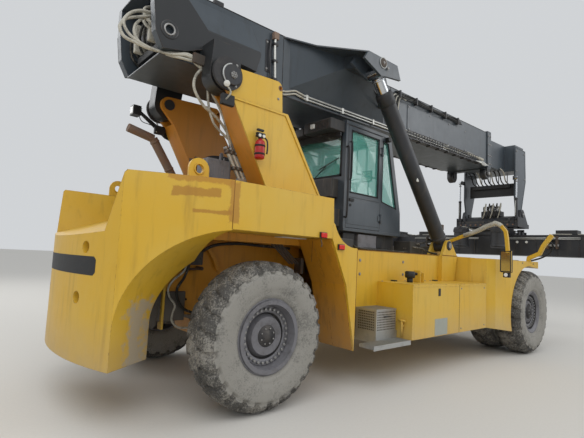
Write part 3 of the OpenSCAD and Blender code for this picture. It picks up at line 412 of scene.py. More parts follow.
class Shape:
    """Collects the faces of one piece, in the frame's metres."""

    def __init__(self):
        self.mesh = bmesh.new()
        self.slots = []
        self.current = 0

    def use(self, material):
        """Faces added from here on take this material."""
        if material not in self.slots:
            self.slots.append(material)
        self.current = self.slots.index(material)
        return self

    def _mark(self, faces, smooth=False):
        for face in faces:
            face.material_index = self.current
            face.smooth = smooth

    def box(self, low, high, bevel=0.0, turn=None, rows=2):
        """A box between two corners, its edges rounded by bevel, turned by an optional matrix."""
        low, high = Vector(low), Vector(high)
        made = bmesh.ops.create_cube(self.mesh, size=1)["verts"]
        for v in made:
            v.co = Vector(low[i] + (v.co[i] + 0.5) * (high[i] - low[i]) for i in range(3))
        faces = {f for v in made for f in v.link_faces}
        self._mark(faces)
        if bevel:
            edges = list({e for v in made for e in v.link_edges})
            result = bmesh.ops.bevel(self.mesh, geom=edges, offset=bevel, segments=rows, profile=0.6,
                affect="EDGES")
            made = list({v for f in result["faces"] for v in f.verts} | {v for v in made if v.is_valid})
            faces = {f for v in made for f in v.link_faces}
            self._mark(faces)
        if turn is not None:
            bmesh.ops.transform(self.mesh, matrix=turn, verts=made)
        return made

    def prism(self, outline, low, high, place, bevel=0.0):
        """An outline drawn in two axes, drawn out from low to high along the third. place turns
        (u, v, w) into a point of the frame."""
        rings = [[self.mesh.verts.new(place(u, v, w)) for u, v in outline] for w in (low, high)]
        count = len(outline)
        faces = [self.mesh.faces.new(rings[0][::-1]), self.mesh.faces.new(rings[1])]
        for i in range(count):
            j = (i + 1) % count
            faces.append(self.mesh.faces.new((rings[0][i], rings[0][j], rings[1][j], rings[1][i])))
        self._mark(faces)
        if bevel:
            edges = list({e for f in faces for e in f.edges})
            result = bmesh.ops.bevel(self.mesh, geom=edges, offset=bevel, segments=2, profile=0.6,
                affect="EDGES")
            self._mark(result["faces"])
        return faces

    def revolve(self, profile, centre, axis, sides=48, closed=False, smooth=True, start=0.0):
        """Turns a profile of (radius, distance along the axis) about the axis through centre."""
        axis = Vector(axis).normalized()
        across = axis.orthogonal().normalized()
        other = axis.cross(across)
        rings = []
        for r, d in profile:
            if r < 1e-6:
                rings.append([self.mesh.verts.new(Vector(centre) + axis * d)])
                continue
            rings.append([
                self.mesh.verts.new(
                    Vector(centre) + axis * d
                    + (across * math.cos(a) + other * math.sin(a)) * r
                )
                for a in (start + 2 * math.pi * k / sides for k in range(sides))
            ])
        pairs = list(zip(rings, rings[1:]))
        if closed:
            pairs.append((rings[-1], rings[0]))
        faces = []
        for a, b in pairs:
            for k in range(sides):
                m = (k + 1) % sides
                corners = (a[k % len(a)], a[m % len(a)], b[m % len(b)], b[k % len(b)])
                unique = list(dict.fromkeys(corners))
                if len(unique) > 2:
                    faces.append(self.mesh.faces.new(unique))
        self._mark(faces, smooth)
        return faces

    def rod(self, start, end, radius, sides=16, smooth=True, bevel=0.0):
        """A round bar between two points, with flat or slightly broken ends."""
        start, end = Vector(start), Vector(end)
        length = (end - start).length
        cut = min(bevel, radius * 0.5, length * 0.4)
        profile = [(0, 0), (radius - cut, 0), (radius, cut), (radius, length - cut), (radius - cut, length),
            (0, length)]
        if not cut:
            profile = [(0, 0), (radius, 0), (radius, length), (0, length)]
        return self.revolve(profile, start, end - start, sides, smooth=smooth)

    def tube(self, points, radius, sides=10, caps=True):
        """A round hose or pipe along points, with no twist."""
        points = [Vector(p) for p in points]
        last = len(points) - 1
        before = None
        rings = []
        for i, p in enumerate(points):
            along = (points[min(i + 1, last)] - points[max(i - 1, 0)]).normalized()
            side = along.orthogonal() if before is None else before - along * before.dot(along)
            side.normalize()
            before = side
            other = along.cross(side)
            rings.append([self.mesh.verts.new(p + (side * math.cos(a) + other * math.sin(a)) * radius)
                for a in (2 * math.pi * k / sides for k in range(sides))])
        faces = []
        for a, b in zip(rings, rings[1:]):
            for k in range(sides):
                m = (k + 1) % sides
                faces.append(self.mesh.faces.new((a[k], a[m], b[m], b[k])))
        self._mark(faces, True)
        if caps:
            self._mark([self.mesh.faces.new(rings[0][::-1]), self.mesh.faces.new(rings[-1])])
        return faces

    def bolt(self, point, axis, across_flats, height, washer=True):
        """A hexagon head on a washer."""
        axis = Vector(axis).normalized()
        point = Vector(point)
        r = across_flats / math.sqrt(3)
        if washer:
            self.revolve([(0, 0), (r * 1.35, 0), (r * 1.35, height * 0.2), (0, height * 0.2)], point, axis,
                14, smooth=False)
        self.revolve([(0, height * 0.2), (r, height * 0.2), (r, height * 0.85), (r * 0.8, height),
            (0, height)], point, axis, 6, smooth=False)

    def piece(self, name, body, slot=None, replaces=(), turn=None):
        """Makes the object, gives it its materials and lets it ride on its body."""
        bmesh.ops.recalc_face_normals(self.mesh, faces=self.mesh.faces)
        mesh = bpy.data.meshes.new(name)
        if turn is not None:
            bmesh.ops.transform(self.mesh, matrix=turn, verts=self.mesh.verts)
        self.mesh.to_mesh(mesh)
        self.mesh.free()
        for material in self.slots:
            mesh.materials.append(MATERIALS[material])
        made = bpy.data.objects.new(name, mesh)
        bpy.context.scene.collection.objects.link(made)
        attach(made, body)
        if replaces:
            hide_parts(*replaces)
        return made


def circle(count, shift=0):
    """Angles of count places round a circle, turned by a share of one step."""
    return [2 * math.pi * (k + shift) / count for k in range(count)]


def smooth_path(points, steps=8):
    """A smooth line through the points, as a hose lies."""
    points = [Vector(p) for p in points]
    ends = [2 * points[0] - points[1], *points, 2 * points[-1] - points[-2]]
    line = []
    for a, b, c, d in zip(ends, ends[1:], ends[2:], ends[3:]):
        for k in range(steps):
            t = k / steps
            line.append(
                0.5 * ((2 * b) + (c - a) * t + (2 * a - 5 * b + 4 * c - d) * t * t
                       + (3 * b - a - 3 * c + d) * t ** 3)
            )
    line.append(points[-1])
    return line


def in_yz(y, z, x):
    """A point of an end view's outline: y, height, and x from the rear axle."""
    return at(x, y, z)


def in_xz(x, z, y):
    """A point of a side view's outline: x from the rear axle, height, and y."""
    return at(x, y, z)


def in_boom(x, up, y):
    return on_boom(x, y, up)


def side_at(sign, point):
    """A point given for the left side, or its mirror image on the right; x from the rear axle."""
    return at(point[0], sign * point[1], point[2])


def side_box(shape, sign, low, high, bevel=0.0):
    """A box given for the left side, or its mirror image on the right; x from the rear axle."""
    y0, y1 = sorted((sign * low[1], sign * high[1]))
    return shape.box(at(low[0], y0, low[2]), at(high[0], y1, high[2]), bevel)


def side_run(shape, sign, points, *sizes):
    """A hose given for the left side, or its mirror image on the right."""
    pipe_run(shape, [side_at(sign, p) for p in points], *sizes)


def side_tube(shape, sign, points, *sizes):
    """A straight seam or pipe given for the left side, or its mirror image on the right."""
    shape.tube([side_at(sign, p) for p in points], *sizes)


def side_rod(shape, sign, start, end, *sizes, **more):
    """A rod given for the left side, or its mirror image on the right."""
    shape.rod(side_at(sign, start), side_at(sign, end), *sizes, **more)


# Finishes of the construction's own nodes

# The rear frame, deep in the wheel bays, takes the darker yellow of painted shade
NODE_FINISHES = {"counterweight": "stained_yellow_enamel", "rear_fenders": "stained_yellow_enamel",
    "main_frame": "yellow_enamel", "mudguards": "yellow_enamel", "rear_frame": "shaded_yellow_enamel",
    "front_frame": "yellow_enamel", "lift_lugs": "yellow_enamel", "boom_towers": "tower_enamel_shaded_inside",
    "boom_pins": "dark_hub_iron", "engine_block": "bare_iron", "engine_hood": "dusty_black_enamel",
    "exhaust_pipe": "rusted_exhaust", "side_tanks": "yellow_enamel", "steps": "mill_aluminium",
    "front_fenders": "yellow_enamel", "drive_axle": "dusty_black_enamel", "steer_axle": "dusty_black_enamel",
    "cab_base": "dusty_black_enamel", "cab_shell": "slate_enamel", "cab_glass": "tinted_cab_glass",
    "cab_interior": "moulded_plastic", "work_lamp": "moulded_plastic", "mirrors": "yellow_enamel",
    "tower_pipes": "zinc_pipe", "boom_outer": "slate_enamel", "boom_pipes": "zinc_pipe",
    "boom_inner": "slate_enamel", "tilt_yoke": "black_enamel", "damper_barrels": "black_enamel",
    "damper_rods": "hard_chrome", "slew_frame": "black_enamel", "spreader_frame": "black_enamel"}
SIDED_FINISHES = {
    "cab_door": "slate_enamel", "door_glass": "tinted_cab_glass", "knuckle": "dusty_black_enamel",
    "rear_tyre": "tread_rubber", "rear_rim": "rim_enamel", "front_tyres": "tread_rubber",
    "front_hub": "rim_enamel", "lift_barrel": "black_enamel", "lift_rod": "hard_chrome",
    "spreader_arm": "black_enamel",
}


class STACKER_OT_finishes(bpy.types.Operator):
    """Makes the materials and gives the construction's own nodes theirs"""

    bl_idname = "stacker.finishes"
    bl_label = "Finishes"

    def execute(self, context):
        make_materials()
        wanted = dict(NODE_FINISHES)
        for name, finish in SIDED_FINISHES.items():
            for side, _ in SIDES:
                wanted[f"{name}_{side}"] = finish
        for node, finish in wanted.items():
            mesh = frame["nodes"][node].data
            mesh.materials.clear()
            mesh.materials.append(MATERIALS[finish])
        return {"FINISHED"}


# Wheels

TYRE_R = 0.8
TYRE_W = 0.5
RIM_R = 0.385


def tread_depth(turn, across):
    """Share of the groove's depth at a place of the tread: turn counts lugs round the tyre, across runs
    from -1 to 1 over its width. Grooves come in from each shoulder, half a lug apart, and a thin zigzag
    joins them in the middle."""
    side = 0.5 if across > 0 else 0.0
    reach = abs(across)
    skew = 0.16 * math.sin(reach * 5.0)
    phase = (turn + side + skew) % 1.0
    near = min(phase, 1 - phase)
    width = 0.085 + 0.075 * max(reach - 0.45, 0) / 0.55
    cross = 1 - min(max((near - width) / 0.045, 0), 1) if reach > 0.22 else 0
    zig = -0.22 * (1 - 4 * abs((turn % 1.0) - 0.5))
    middle = 1 - min(max((abs(across - zig) - 0.03) / 0.03, 0), 1)
    return max(cross, 0.55 * middle)


def tyre(shape, centre, out, seed, steps_per_lug=10):
    """One worn rock tyre: a rounded carcass, block tread cut by grooves and a plain sidewall."""
    lugs = sizes().lug_count
    depth = sizes().lug_depth
    rng = random.Random(seed)
    wear = [rng.uniform(0.0, 0.35) for _ in range(2 * lugs)]
    half = TYRE_W / 2
    # Radius and distance from the middle, from the outer bead round to the inner one
    wall = [(RIM_R - 0.004, half - 0.075), (RIM_R + 0.02, half - 0.052), (RIM_R + 0.05, half - 0.032),
        (RIM_R + 0.075, half - 0.022), (RIM_R + 0.085, half - 0.024), (RIM_R + 0.11, half - 0.010),
        (RIM_R + 0.16, half - 0.002), (RIM_R + 0.21, half), (RIM_R + 0.25, half - 0.002),
        (RIM_R + 0.268, half - 0.003), (RIM_R + 0.278, half - 0.010), (RIM_R + 0.31, half - 0.013)]
    columns = 30
    tread = []
    for k in range(columns + 1):
        u = 1 - 2 * k / columns
        bow = abs(u) ** 5
        r = TYRE_R - 0.006 - 0.075 * bow - 0.010 * u * u
        tread.append((r, u * (half - 0.014), u))
    section = [(r, d, None) for r, d in wall] + tread + [(r, -d, None) for r, d in reversed(wall)]
    total = lugs * steps_per_lug
    rings = []
    for k in range(total):
        angle = 2 * math.pi * k / total
        turn = k / steps_per_lug
        ring = []
        for r, d, u in section:
            if u is not None:
                cut = tread_depth(turn, u)
                block = int(turn * 2) % (2 * lugs)
                r -= depth * max(cut, wear[block] * 0.25)
            elif r > RIM_R + 0.27:
                cut = tread_depth(turn, 1.0 if d > 0 else -1.0)
                r -= 0.004 * cut
                d -= math.copysign(0.016 * cut, d)
            ring.append(shape.mesh.verts.new(Vector(centre) + Vector((r * math.cos(angle), out * d,
                r * math.sin(angle)))))
        rings.append(ring)
    count = len(section)
    shape.use("tread_rubber")
    tread_slot = shape.current
    shape.use("sidewall_rubber")
    wall_slot = shape.current
    for k in range(total):
        a, b = rings[k], rings[(k + 1) % total]
        for i in range(count):
            j = (i + 1) % count
            face = shape.mesh.faces.new((a[i], a[j], b[j], b[i]))
            on_tread = len(wall) - 1 <= i < len(wall) + columns
            face.material_index = tread_slot if on_tread else wall_slot
            face.smooth = not on_tread


def rim(shape, centre, out, face, bolts):
    """A demountable rim: lock ring, a groove, a ring of clamp bolts and the hub with its cap. face is
    how far the bolts' ring lies from the tyre's middle."""
    centre = Vector(centre)
    axis = Vector((0, out, 0))
    # Finish, radius and distance from the bolts' ring along the axis, sides
    for finish, profile, sides in (
        ("rim_enamel", (
            (RIM_R - 0.002, 0.045), (RIM_R + 0.022, 0.058), (RIM_R + 0.020, 0.072), (RIM_R - 0.004, 0.076),
            (RIM_R - 0.012, 0.058), (RIM_R - 0.040, 0.050), (RIM_R - 0.050, 0.030)), 72),
        ("dark_hub_iron", (
            (RIM_R - 0.050, 0.030), (RIM_R - 0.056, -0.030), (RIM_R - 0.066, -0.030), (RIM_R - 0.070, -0.004),
            (0.312, 0)), 72),
        ("rim_enamel", ((0.312, 0), (0.250, 0), (0.246, -0.006)), 72),
        ("dark_hub_iron", ((0.246, -0.006), (0.238, -0.040), (0.212, -0.042), (0.206, -0.012)), 72),
        ("rim_enamel", ((0.206, -0.012), (0.200, -0.004), (0.166, 0), (0.158, 0.006), (0.150, 0.002)), 64),
        ("dark_hub_iron", (
            (0.150, 0.002), (0.146, -0.012), (0.124, -0.014), (0.118, 0.024), (0.108, 0.036), (0.060, 0.040),
            (0.052, 0.052), (0, 0.054)), 56),
    ):
        shape.use(finish)
        shape.revolve([(r, face + along) for r, along in profile], centre, axis, sides)
    shape.use("bolt_steel")
    # Bolts in a circle: count, turn in steps, distance along the axis, radius, size across flats, height
    for count, shift, along, radius, flats, height in (
        (bolts, 0, 0, 0.282, 0.028, 0.026), (16, 0.5, 0.001, 0.182, 0.018, 0.014),
        (8, 0.5, 0.038, 0.084, 0.016, 0.010),
    ):
        for a in circle(count, shift):
            spot = centre + axis * (face + along) + Vector((math.cos(a), 0, math.sin(a))) * radius
            shape.bolt(spot, axis, flats, height, False)


class STACKER_OT_wheels(bpy.types.Operator):
    """Builds the tyres, with their tread, and the rims"""

    bl_idname = "stacker.wheels"
    bl_label = "Wheels"

    def execute(self, context):
        bolts = sizes().bolt_count
        for side, sign in SIDES:
            low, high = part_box(f"rear_tyre_{side}")
            middle = (low + high) / 2
            rubber = Shape()
            tyre(rubber, middle, sign, 11 + sign)
            rubber.piece(f"rear_tyre_skin_{side}", f"rear_wheel_{side}", "tyre", [f"rear_tyre_{side}"])
            metal = Shape()
            rim(metal, middle, sign, 0.125, bolts)
            metal.piece(f"rear_rim_face_{side}", f"rear_wheel_{side}", "grey_rim")
            low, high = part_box(f"front_tyres_{side}")
            outer_y = (high.y if sign > 0 else low.y) - sign * TYRE_W / 2
            inner_y = (low.y if sign > 0 else high.y) + sign * TYRE_W / 2
            rubber = Shape()
            for y, seed in ((outer_y, 21 + sign), (inner_y, 31 + sign)):
                tyre(rubber, ((low.x + high.x) / 2, y, AXLE_Z), sign, seed, 8)
            rubber.piece(f"front_tyre_skins_{side}", f"front_wheel_{side}", "tyre", [f"front_tyres_{side}"])
            metal = Shape()
            rim(metal, ((low.x + high.x) / 2, outer_y, AXLE_Z), sign, 0.125, bolts)
            metal.piece(f"front_rim_face_{side}", f"front_wheel_{side}", "grey_rim")
        return {"FINISHED"}


# Rear body

ARC_R = 3.06
ARC_X = 1.33


def arc_x(y):
    """Rear face of the counterweight at y."""
    return ARC_X - math.sqrt(ARC_R * ARC_R - y * y)


def ring(shape, centre, axis, r_in, r_out, depth, sides=40):
    """A flat ring whose back lies on a face."""
    low = [(r_in, 0), (r_out - 0.002, 0), (r_out, depth * 0.4), (r_out - 0.003, depth), (r_in + 0.003, depth)]
    shape.revolve([*low, (r_in, depth * 0.6)], centre, axis, sides, closed=True)


def disc(shape, centre, axis, r, depth, sides=32):
    """A disc with a broken edge that stands on a face."""
    cut = min(0.25 * depth, 0.2 * r)
    shape.revolve([(0, 0), (r, 0), (r, depth - cut), (r - cut, depth), (0, depth)], centre, axis, sides,
        smooth=False)


class STACKER_OT_rear_body(bpy.types.Operator):
    """Builds the counterweight's panel, seams and lamps, and the rings of the lifting eyes"""

    bl_idname = "stacker.rear_body"
    bl_label = "Rear Body"

    def execute(self, context):
        panel = Shape().use("moulded_plastic")
        half_y, low_z, high_z, corner, proud = 0.85, 1.385, 1.565, 0.03, 0.0012
        columns = []
        count = 48
        for k in range(count + 1):
            y = -half_y + 2 * half_y * k / count
            inside = max(corner - (half_y - abs(y)), 0)
            drop = corner - math.sqrt(max(corner ** 2 - inside ** 2, 0))
            columns.append([panel.mesh.verts.new(at(arc_x(y) + dx, y, z)) for dx,
                z in ((-proud, low_z + drop), (-proud, high_z - drop), (0.004, high_z - drop),
                (0.004, low_z + drop))])
        faces = [panel.mesh.faces.new(columns[0]), panel.mesh.faces.new(columns[-1])]
        for a, b in zip(columns, columns[1:]):
            faces += [panel.mesh.faces.new((a[i], a[(i + 1) % 4], b[(i + 1) % 4], b[i])) for i in range(4)]
        panel._mark(faces)
        panel.piece("rear_panel", "chassis", "black_paint")

        seams = Shape().use("weld_bead")
        eyes = Shape().use("yellow_enamel")
        lamps = Shape()
        for _, sign in SIDES:
            side_tube(seams, sign, ((-0.58, 1.55, 1.90), (-0.58, 1.55, 2.384)), 0.004, 8)
            seams.tube([at(x, sign * 1.21, 2.387) for x in (-0.914, -0.686)], 0.006, 8)
            seams.tube([at(x, sign * 1.18, 2.387) for x in (-0.914, -0.686)], 0.006, 8)
            seams.tube([at(0.862, sign * 1.2005, z) for z in (1.86, 1.80, 1.6)], 0.004, 8)
            for y in (1.1785, 1.2115):
                ring(eyes, at(-0.8, sign * y, 2.5), (0, sign * (1 if y > 1.2 else -1), 0), 0.046, 0.062,
                    0.008)
            # Lamps on the fender's lower edge and on the mudguard
            for x, y, z in ((0.687, 1.55, 1.925), (1.006, 1.55, 1.80)):
                lamps.use("moulded_plastic")
                lamps.box(at(x - 0.055, min(sign * y, sign * (y + 0.022)), z - 0.035),
                    at(x + 0.055, max(sign * y, sign * (y + 0.022)), z + 0.035), 0.004)
                lamps.use("red_lamp_acrylic")
                lamps.box(at(x - 0.048, min(sign * (y + 0.022), sign * (y + 0.034)), z - 0.028),
                    at(x + 0.048, max(sign * (y + 0.022), sign * (y + 0.034)), z + 0.028), 0.006)
            lamps.use("bare_iron")
            lamps.tube(smooth_path([at(0.66, sign * 1.555, 1.892), at(0.655, sign * 1.56, 1.86),
                at(0.672, sign * 1.558, 1.82), at(0.665, sign * 1.556, 1.785)], 4), 0.006, 8)
        seams.piece("rear_body_seams", "chassis", "yellow_paint")
        eyes.piece("lifting_eye_rings", "chassis", "yellow_paint")
        lamps.piece("rear_side_lamps", "chassis", "cab_plastic")

        # Sheet under the fender, and the inside of the mudguard that faces the wheel, in painted shade with
        # dust
        lining = Shape()
        for _, sign in SIDES:
            lining.use("dial_white")
            y0, y1 = sorted((sign * 0.95, sign * 1.10))
            lining.box(at(0.44, y0, 1.884), at(0.858, y1, 1.8935), 0.002)
            lining.use("shaded_yellow_enamel")
            rear = [(0.846, 1.888), (1.126, 1.338), (1.318, 0.515)]
            outline = rear + [(x + 0.008, z) for x, z in reversed(rear)]
            for y0, y1 in ((0.945, 1.199), (1.203, 1.525)):
                lining.prism(outline, sign * y0, sign * y1, in_xz)
        lining.piece("wheel_bay_lining", "chassis", "yellow_paint")
        return {"FINISHED"}


def pipe_run(shape, points, radius, steps=6, sides=10):
    """A hose or pipe that bends smoothly through points."""
    shape.tube(smooth_path(points, steps), radius, sides)


def fitting(shape, point, along, radius):
    """The crimped end and hexagon nut of a hose."""
    along = Vector(along).normalized()
    point = Vector(point)
    shape.rod(point, point + along * radius * 3, radius * 1.25, 12, bevel=0.002)
    shape.rod(point + along * radius * 3, point + along * radius * 4.4, radius * 1.55, 6, smooth=False,
        bevel=0.001)


# Face of the girders between the rear wheels
GIRDER_FACE = 0.381


class STACKER_OT_wheel_bays(bpy.types.Operator):
    """Builds the hoses, rods and blocks that show in the rear wheels' bays"""

    bl_idname = "stacker.wheel_bays"
    bl_label = "Wheel Bays"

    def execute(self, context):
        gear = Shape()
        for _, sign in SIDES:
            gear.use("yellow_enamel")
            side_box(gear, sign, (-0.745, 0.37, 0.757), (-0.715, 0.46, 1.441), 0.003)
            gear.use("bare_iron")
            side_rod(gear, sign, (-0.74, 0.5, 1.433), (-0.30, 0.5, 1.455), 0.016)
            side_rod(gear, sign, (-0.30, 0.38, 1.455), (-0.30, 0.52, 1.455), 0.022, bevel=0.003)
            # Plate on the girder's face, in the darker yellow of painted shade
            gear.use("shaded_yellow_enamel")
            gear.prism([(-0.20, 1.70), (-0.15, 1.70), (-0.05, 1.58), (0.01, 1.42), (-0.03, 1.42),
                (-0.10, 1.56)], sign * GIRDER_FACE, sign * 0.43, in_xz)
            # Motor block and valve on the spine
            gear.use("dusty_black_enamel")
            side_box(gear, sign, (-0.62, GIRDER_FACE, 1.50), (-0.34, 0.60, 1.66), 0.012)
            side_box(gear, sign, (0.28, GIRDER_FACE, 1.24), (0.55, 0.50, 1.50), 0.012)
            side_rod(gear, sign, (0.42, 0.50, 1.38), (0.42, 0.58, 1.38), 0.070, 24, bevel=0.008)
            # Black mass between the counterweight and the axle, clear of the steered wheel
            side_box(gear, sign, (-1.02, GIRDER_FACE, 0.80), (-0.84, 0.56, 1.20), 0.03)
            side_box(gear, sign, (-0.86, GIRDER_FACE, 0.84), (-0.44, 0.42, 1.18), 0.012)
            side_rod(gear, sign, (-1.00, 0.48, 0.98), (-0.83, 0.48, 0.98), 0.10, 28, bevel=0.02)
            side_box(gear, sign, (-1.0, GIRDER_FACE, 1.05), (-0.80, 0.50, 1.30), 0.01)
            for k in range(4):
                gear.bolt(at(-0.59 + 0.075 * k, sign * 0.60, 1.58), (0, sign, 0), 0.024, 0.014)
            gear.use("pale_hose_cover")
            side_run(gear, sign, ((-0.53, 0.56, 1.52), (-0.55, 0.55, 1.427), (-0.66, 0.53, 1.325),
                (-0.70, 0.49, 1.226), (-0.66, 0.45, 1.126), (-0.58, 0.438, 1.024), (-0.60, 0.436, 0.926),
                (-0.60, 0.436, 0.842), (-0.50, 0.43, 0.76), (-0.28, 0.43, 0.75)), 0.013)
            gear.use("hose_rubber")
            side_run(gear, sign, ((-0.50, 0.58, 1.52), (-0.55, 0.57, 1.36), (-0.60, 0.50, 1.20),
                (-0.52, 0.46, 1.02), (-0.36, 0.44, 0.93), (-0.20, 0.42, 0.92)), 0.016)
            side_run(gear, sign, ((0.34, 0.50, 1.22), (0.36, 0.52, 1.06), (0.30, 0.50, 0.95),
                (0.18, 0.44, 0.93)), 0.016)
            side_run(gear, sign, ((0.46, 0.50, 1.22), (0.50, 0.50, 1.05), (0.62, 0.42, 0.98),
                (0.80, 0.50, 1.02), (0.98, 0.40, 1.10)), 0.018)
            side_run(gear, sign, ((-0.40, 0.56, 1.62), (-0.22, 0.62, 1.74), (0.10, 0.66, 1.78),
                (0.50, 0.68, 1.77), (0.95, 0.66, 1.76)), 0.019)
            # Hard pipes that slant down behind the wheel
            gear.use("bare_iron")
            for k in range(4):
                x = 0.34 + 0.05 * k
                side_rod(gear, sign, (x, 0.90, 1.88), (x + 0.42, 0.90, 1.56), 0.012, 12)
            side_box(gear, sign, (0.93, 0.80, 1.43), (0.98, 0.93, 1.64), 0.004)
        gear.piece("wheel_bay_gear", "chassis", "plain_steel")
        return {"FINISHED"}


# Towers and what they carry

HEAD_FACE = 0.925


class STACKER_OT_towers(bpy.types.Operator):
    """Builds the pins' covers, pipes, hoses, lamps and the extinguisher on the boom's towers"""

    bl_idname = "stacker.towers"
    bl_label = "Towers"

    def execute(self, context):
        pins = Shape()
        for _, sign in SIDES:
            face = sign * 0.960
            spot = at(-0.33, face, 3.722)
            out = (0, sign, 0)
            pins.use("black_enamel")
            disc(pins, spot, out, 0.122, 0.024, 56)
            # Bright half ring behind the pin's locking plate
            pins.use("mill_aluminium")
            arc = [math.radians(100 + 8 * k) for k in range(20)]
            pins.tube([spot + Vector((0.128 * math.cos(a), sign * 0.010, 0.128 * math.sin(a))) for a in arc],
                0.011, 8)
            pins.use("bolt_steel")
            pins.rod(spot + Vector((0.01, sign * 0.024, 0)), spot + Vector((0.01, sign * 0.034, 0)), 0.046, 6,
                smooth=False, bevel=0.004)
            for k in range(6):
                a = math.pi * k / 3
                pins.bolt(spot + Vector((0.01 + 0.030 * math.cos(a), sign * 0.034, 0.030 * math.sin(a))), out,
                    0.014, 0.010, False)
            pins.bolt(spot + Vector((0.01, sign * 0.032, 0)), out, 0.020, 0.016)
            for k in range(3):
                a = math.radians(-50 + 50 * k)
                pins.bolt(at(-0.38 + 0.165 * math.cos(a), face, 3.73 + 0.165 * math.sin(a)), out, 0.022,
                    0.012)
            # Rust-rimmed hole in the head and its grease pipe
            pins.use("rusted_exhaust")
            ring(pins, at(0.43, sign * HEAD_FACE, 3.81), out, 0.024, 0.036, 0.004, 32)
            pins.use("bolt_steel")
            pins.bolt(at(0.40, sign * HEAD_FACE, 3.66), out, 0.022, 0.012)
            pins.use("dial_white")
            side_rod(pins, sign, (-0.40, 0.962, 3.60), (-0.42, 1.005, 3.585), 0.036, 16, bevel=0.006)
            pins.use("moulded_plastic")
            side_box(pins, sign, (-0.44, 0.90, 3.36), (-0.27, 0.958, 3.49), 0.012)
            pins.use("pale_hose_cover")
            side_run(pins, sign, ((-0.40, 0.985, 3.57), (-0.36, 1.0, 3.50), (-0.38, 0.97, 3.44),
                (-0.42, 0.90, 3.38)), 0.010, 5, 8)
        pins.piece("pivot_pin_details", "chassis", "plain_steel")

        welds = Shape().use("weld_bead")
        for _, sign in SIDES:
            side_tube(welds, sign, ((-0.29, 0.940, 3.490), (0.545, 0.940, 3.490)), 0.005, 8)
            foot = [at(x, sign * 0.941, 1.905) for x in (0.62, 1.60)]
            welds.tube(foot, 0.007, 8)
            welds.tube([at(x, sign * 0.661, 1.905) for x in (0.64, 1.58)], 0.006, 8)
        welds.piece("tower_seams", "chassis", "yellow_paint")

        clamps = Shape().use("bare_iron")
        lean = 0.62
        for up in (0.14, 0.33):
            a = at(0.125 - lean * up, -0.566, 2.59 + up)
            clamps.box(a + Vector((-0.04, -0.031, -0.022)), a + Vector((0.25, 0.031, 0.022)), 0.005)
        clamps.use("bolt_steel")
        for k in range(5):
            for up in (0.14, 0.33):
                clamps.bolt(at(0.09 + 0.07 * k - lean * up, -0.597, 2.59 + up), (0, -1, 0), 0.020, 0.012)
        for k in range(4):
            top = at(0.125 + 0.07 * k - lean * 0.36, -0.566, 2.59 + 0.36)
            clamps.revolve([(0.0242, 0), (0.031, 0.003), (0.031, 0.04), (0.0242, 0.043)], top, (-lean, 0, 1),
                20)
        clamps.piece("riser_pipe_clamps", "chassis", "plain_steel")

        blocks = Shape()
        for _, sign in SIDES:
            blocks.use("rusted_exhaust")
            for x, z in ((0.107, 3.04), (0.229, 2.94), (0.017, 3.00)):
                side_box(blocks, sign, (x - 0.03, 0.585, z - 0.025), (x + 0.03, 0.599, z + 0.025), 0.004)
        blocks.piece("tower_inner_blocks", "chassis", "plain_steel")

        bottle = Shape().use("extinguisher_enamel")
        foot, axis = at(0.092, -1.008, 2.80), (0, 0, 1)
        bottle.revolve([(0, 0), (0.048, 0.003), (0.060, 0.016), (0.062, 0.04), (0.062, 0.19), (0.054, 0.218),
            (0.036, 0.235), (0.024, 0.242), (0.024, 0.256), (0, 0.256)], foot, axis, 32)
        bottle.use("moulded_plastic")
        high = foot + Vector((0, 0, 0.25))
        bottle.rod(high, high + Vector((0, 0, 0.06)), 0.028, 16, bevel=0.004)
        bottle.box(high + Vector((-0.060, -0.022, 0.05)), high + Vector((0.060, 0.022, 0.075)), 0.006)
        bottle.box(high + Vector((-0.058, -0.026, 0.02)), high + Vector((0.058, 0.026, 0.048)), 0.006)
        bottle.box(high + Vector((-0.055, -0.018, 0.095)), high + Vector((0.040, 0.018, 0.120)), 0.006)
        pipe_run(bottle, [high + Vector((0.045, -0.01, 0.03)), high + Vector((0.080, -0.03, -0.01)),
            high + Vector((0.078, -0.05, -0.10)), high + Vector((0.070, -0.052, -0.18))], 0.010, 5, 8)
        bottle.use("dial_white")
        for shift in (-0.030, 0.030):
            disc(bottle, high + Vector((shift, -0.026, 0.034)), (0, -1, 0), 0.020, 0.010, 20)
        bottle.use("black_rubber")
        for up in (0.05, 0.15):
            bottle.revolve([(0.0622, 0), (0.065, 0.002), (0.065, 0.022), (0.0622, 0.024)],
                foot + Vector((0, 0, up)), axis, 32)
            bottle.box(foot + Vector((-0.03, 0.02, up)), foot + Vector((0.03, 0.066, up + 0.024)), 0.003)
        bottle.piece("fire_extinguisher", "chassis", "black_paint")

        lamps = Shape()
        y0, y1 = 0.950, 1.070
        lamps.use("mill_aluminium")
        lamps.box(at(-0.764, y0, 3.592), at(-0.759, y1, 3.708), 0.002)
        lamps.use("lamp_glass")
        lamps.box(at(-0.768, y0 + 0.01, 3.602), at(-0.763, y1 - 0.01, 3.698), 0.002)
        lamps.use("moulded_plastic")
        for k in range(5):
            lamps.box(at(-0.652, y0 + 0.006, 3.60 + 0.022 * k), at(-0.632, y1 - 0.006, 3.608 + 0.022 * k),
                0.002)
        lamps.use("bolt_steel")
        lamps.bolt(at(-0.70, 1.08, 3.65), (0, 1, 0), 0.026, 0.014)
        lamps.use("black_rubber")
        pipe_run(lamps, [at(-0.65, 1.02, 3.60), at(-0.60, 1.01, 3.52), at(-0.48, 0.98, 3.49),
            at(-0.36, 0.975, 3.45)], 0.006, 5, 8)
        lamps.piece("work_lamp_fittings", "chassis", "black_paint")
        return {"FINISHED"}


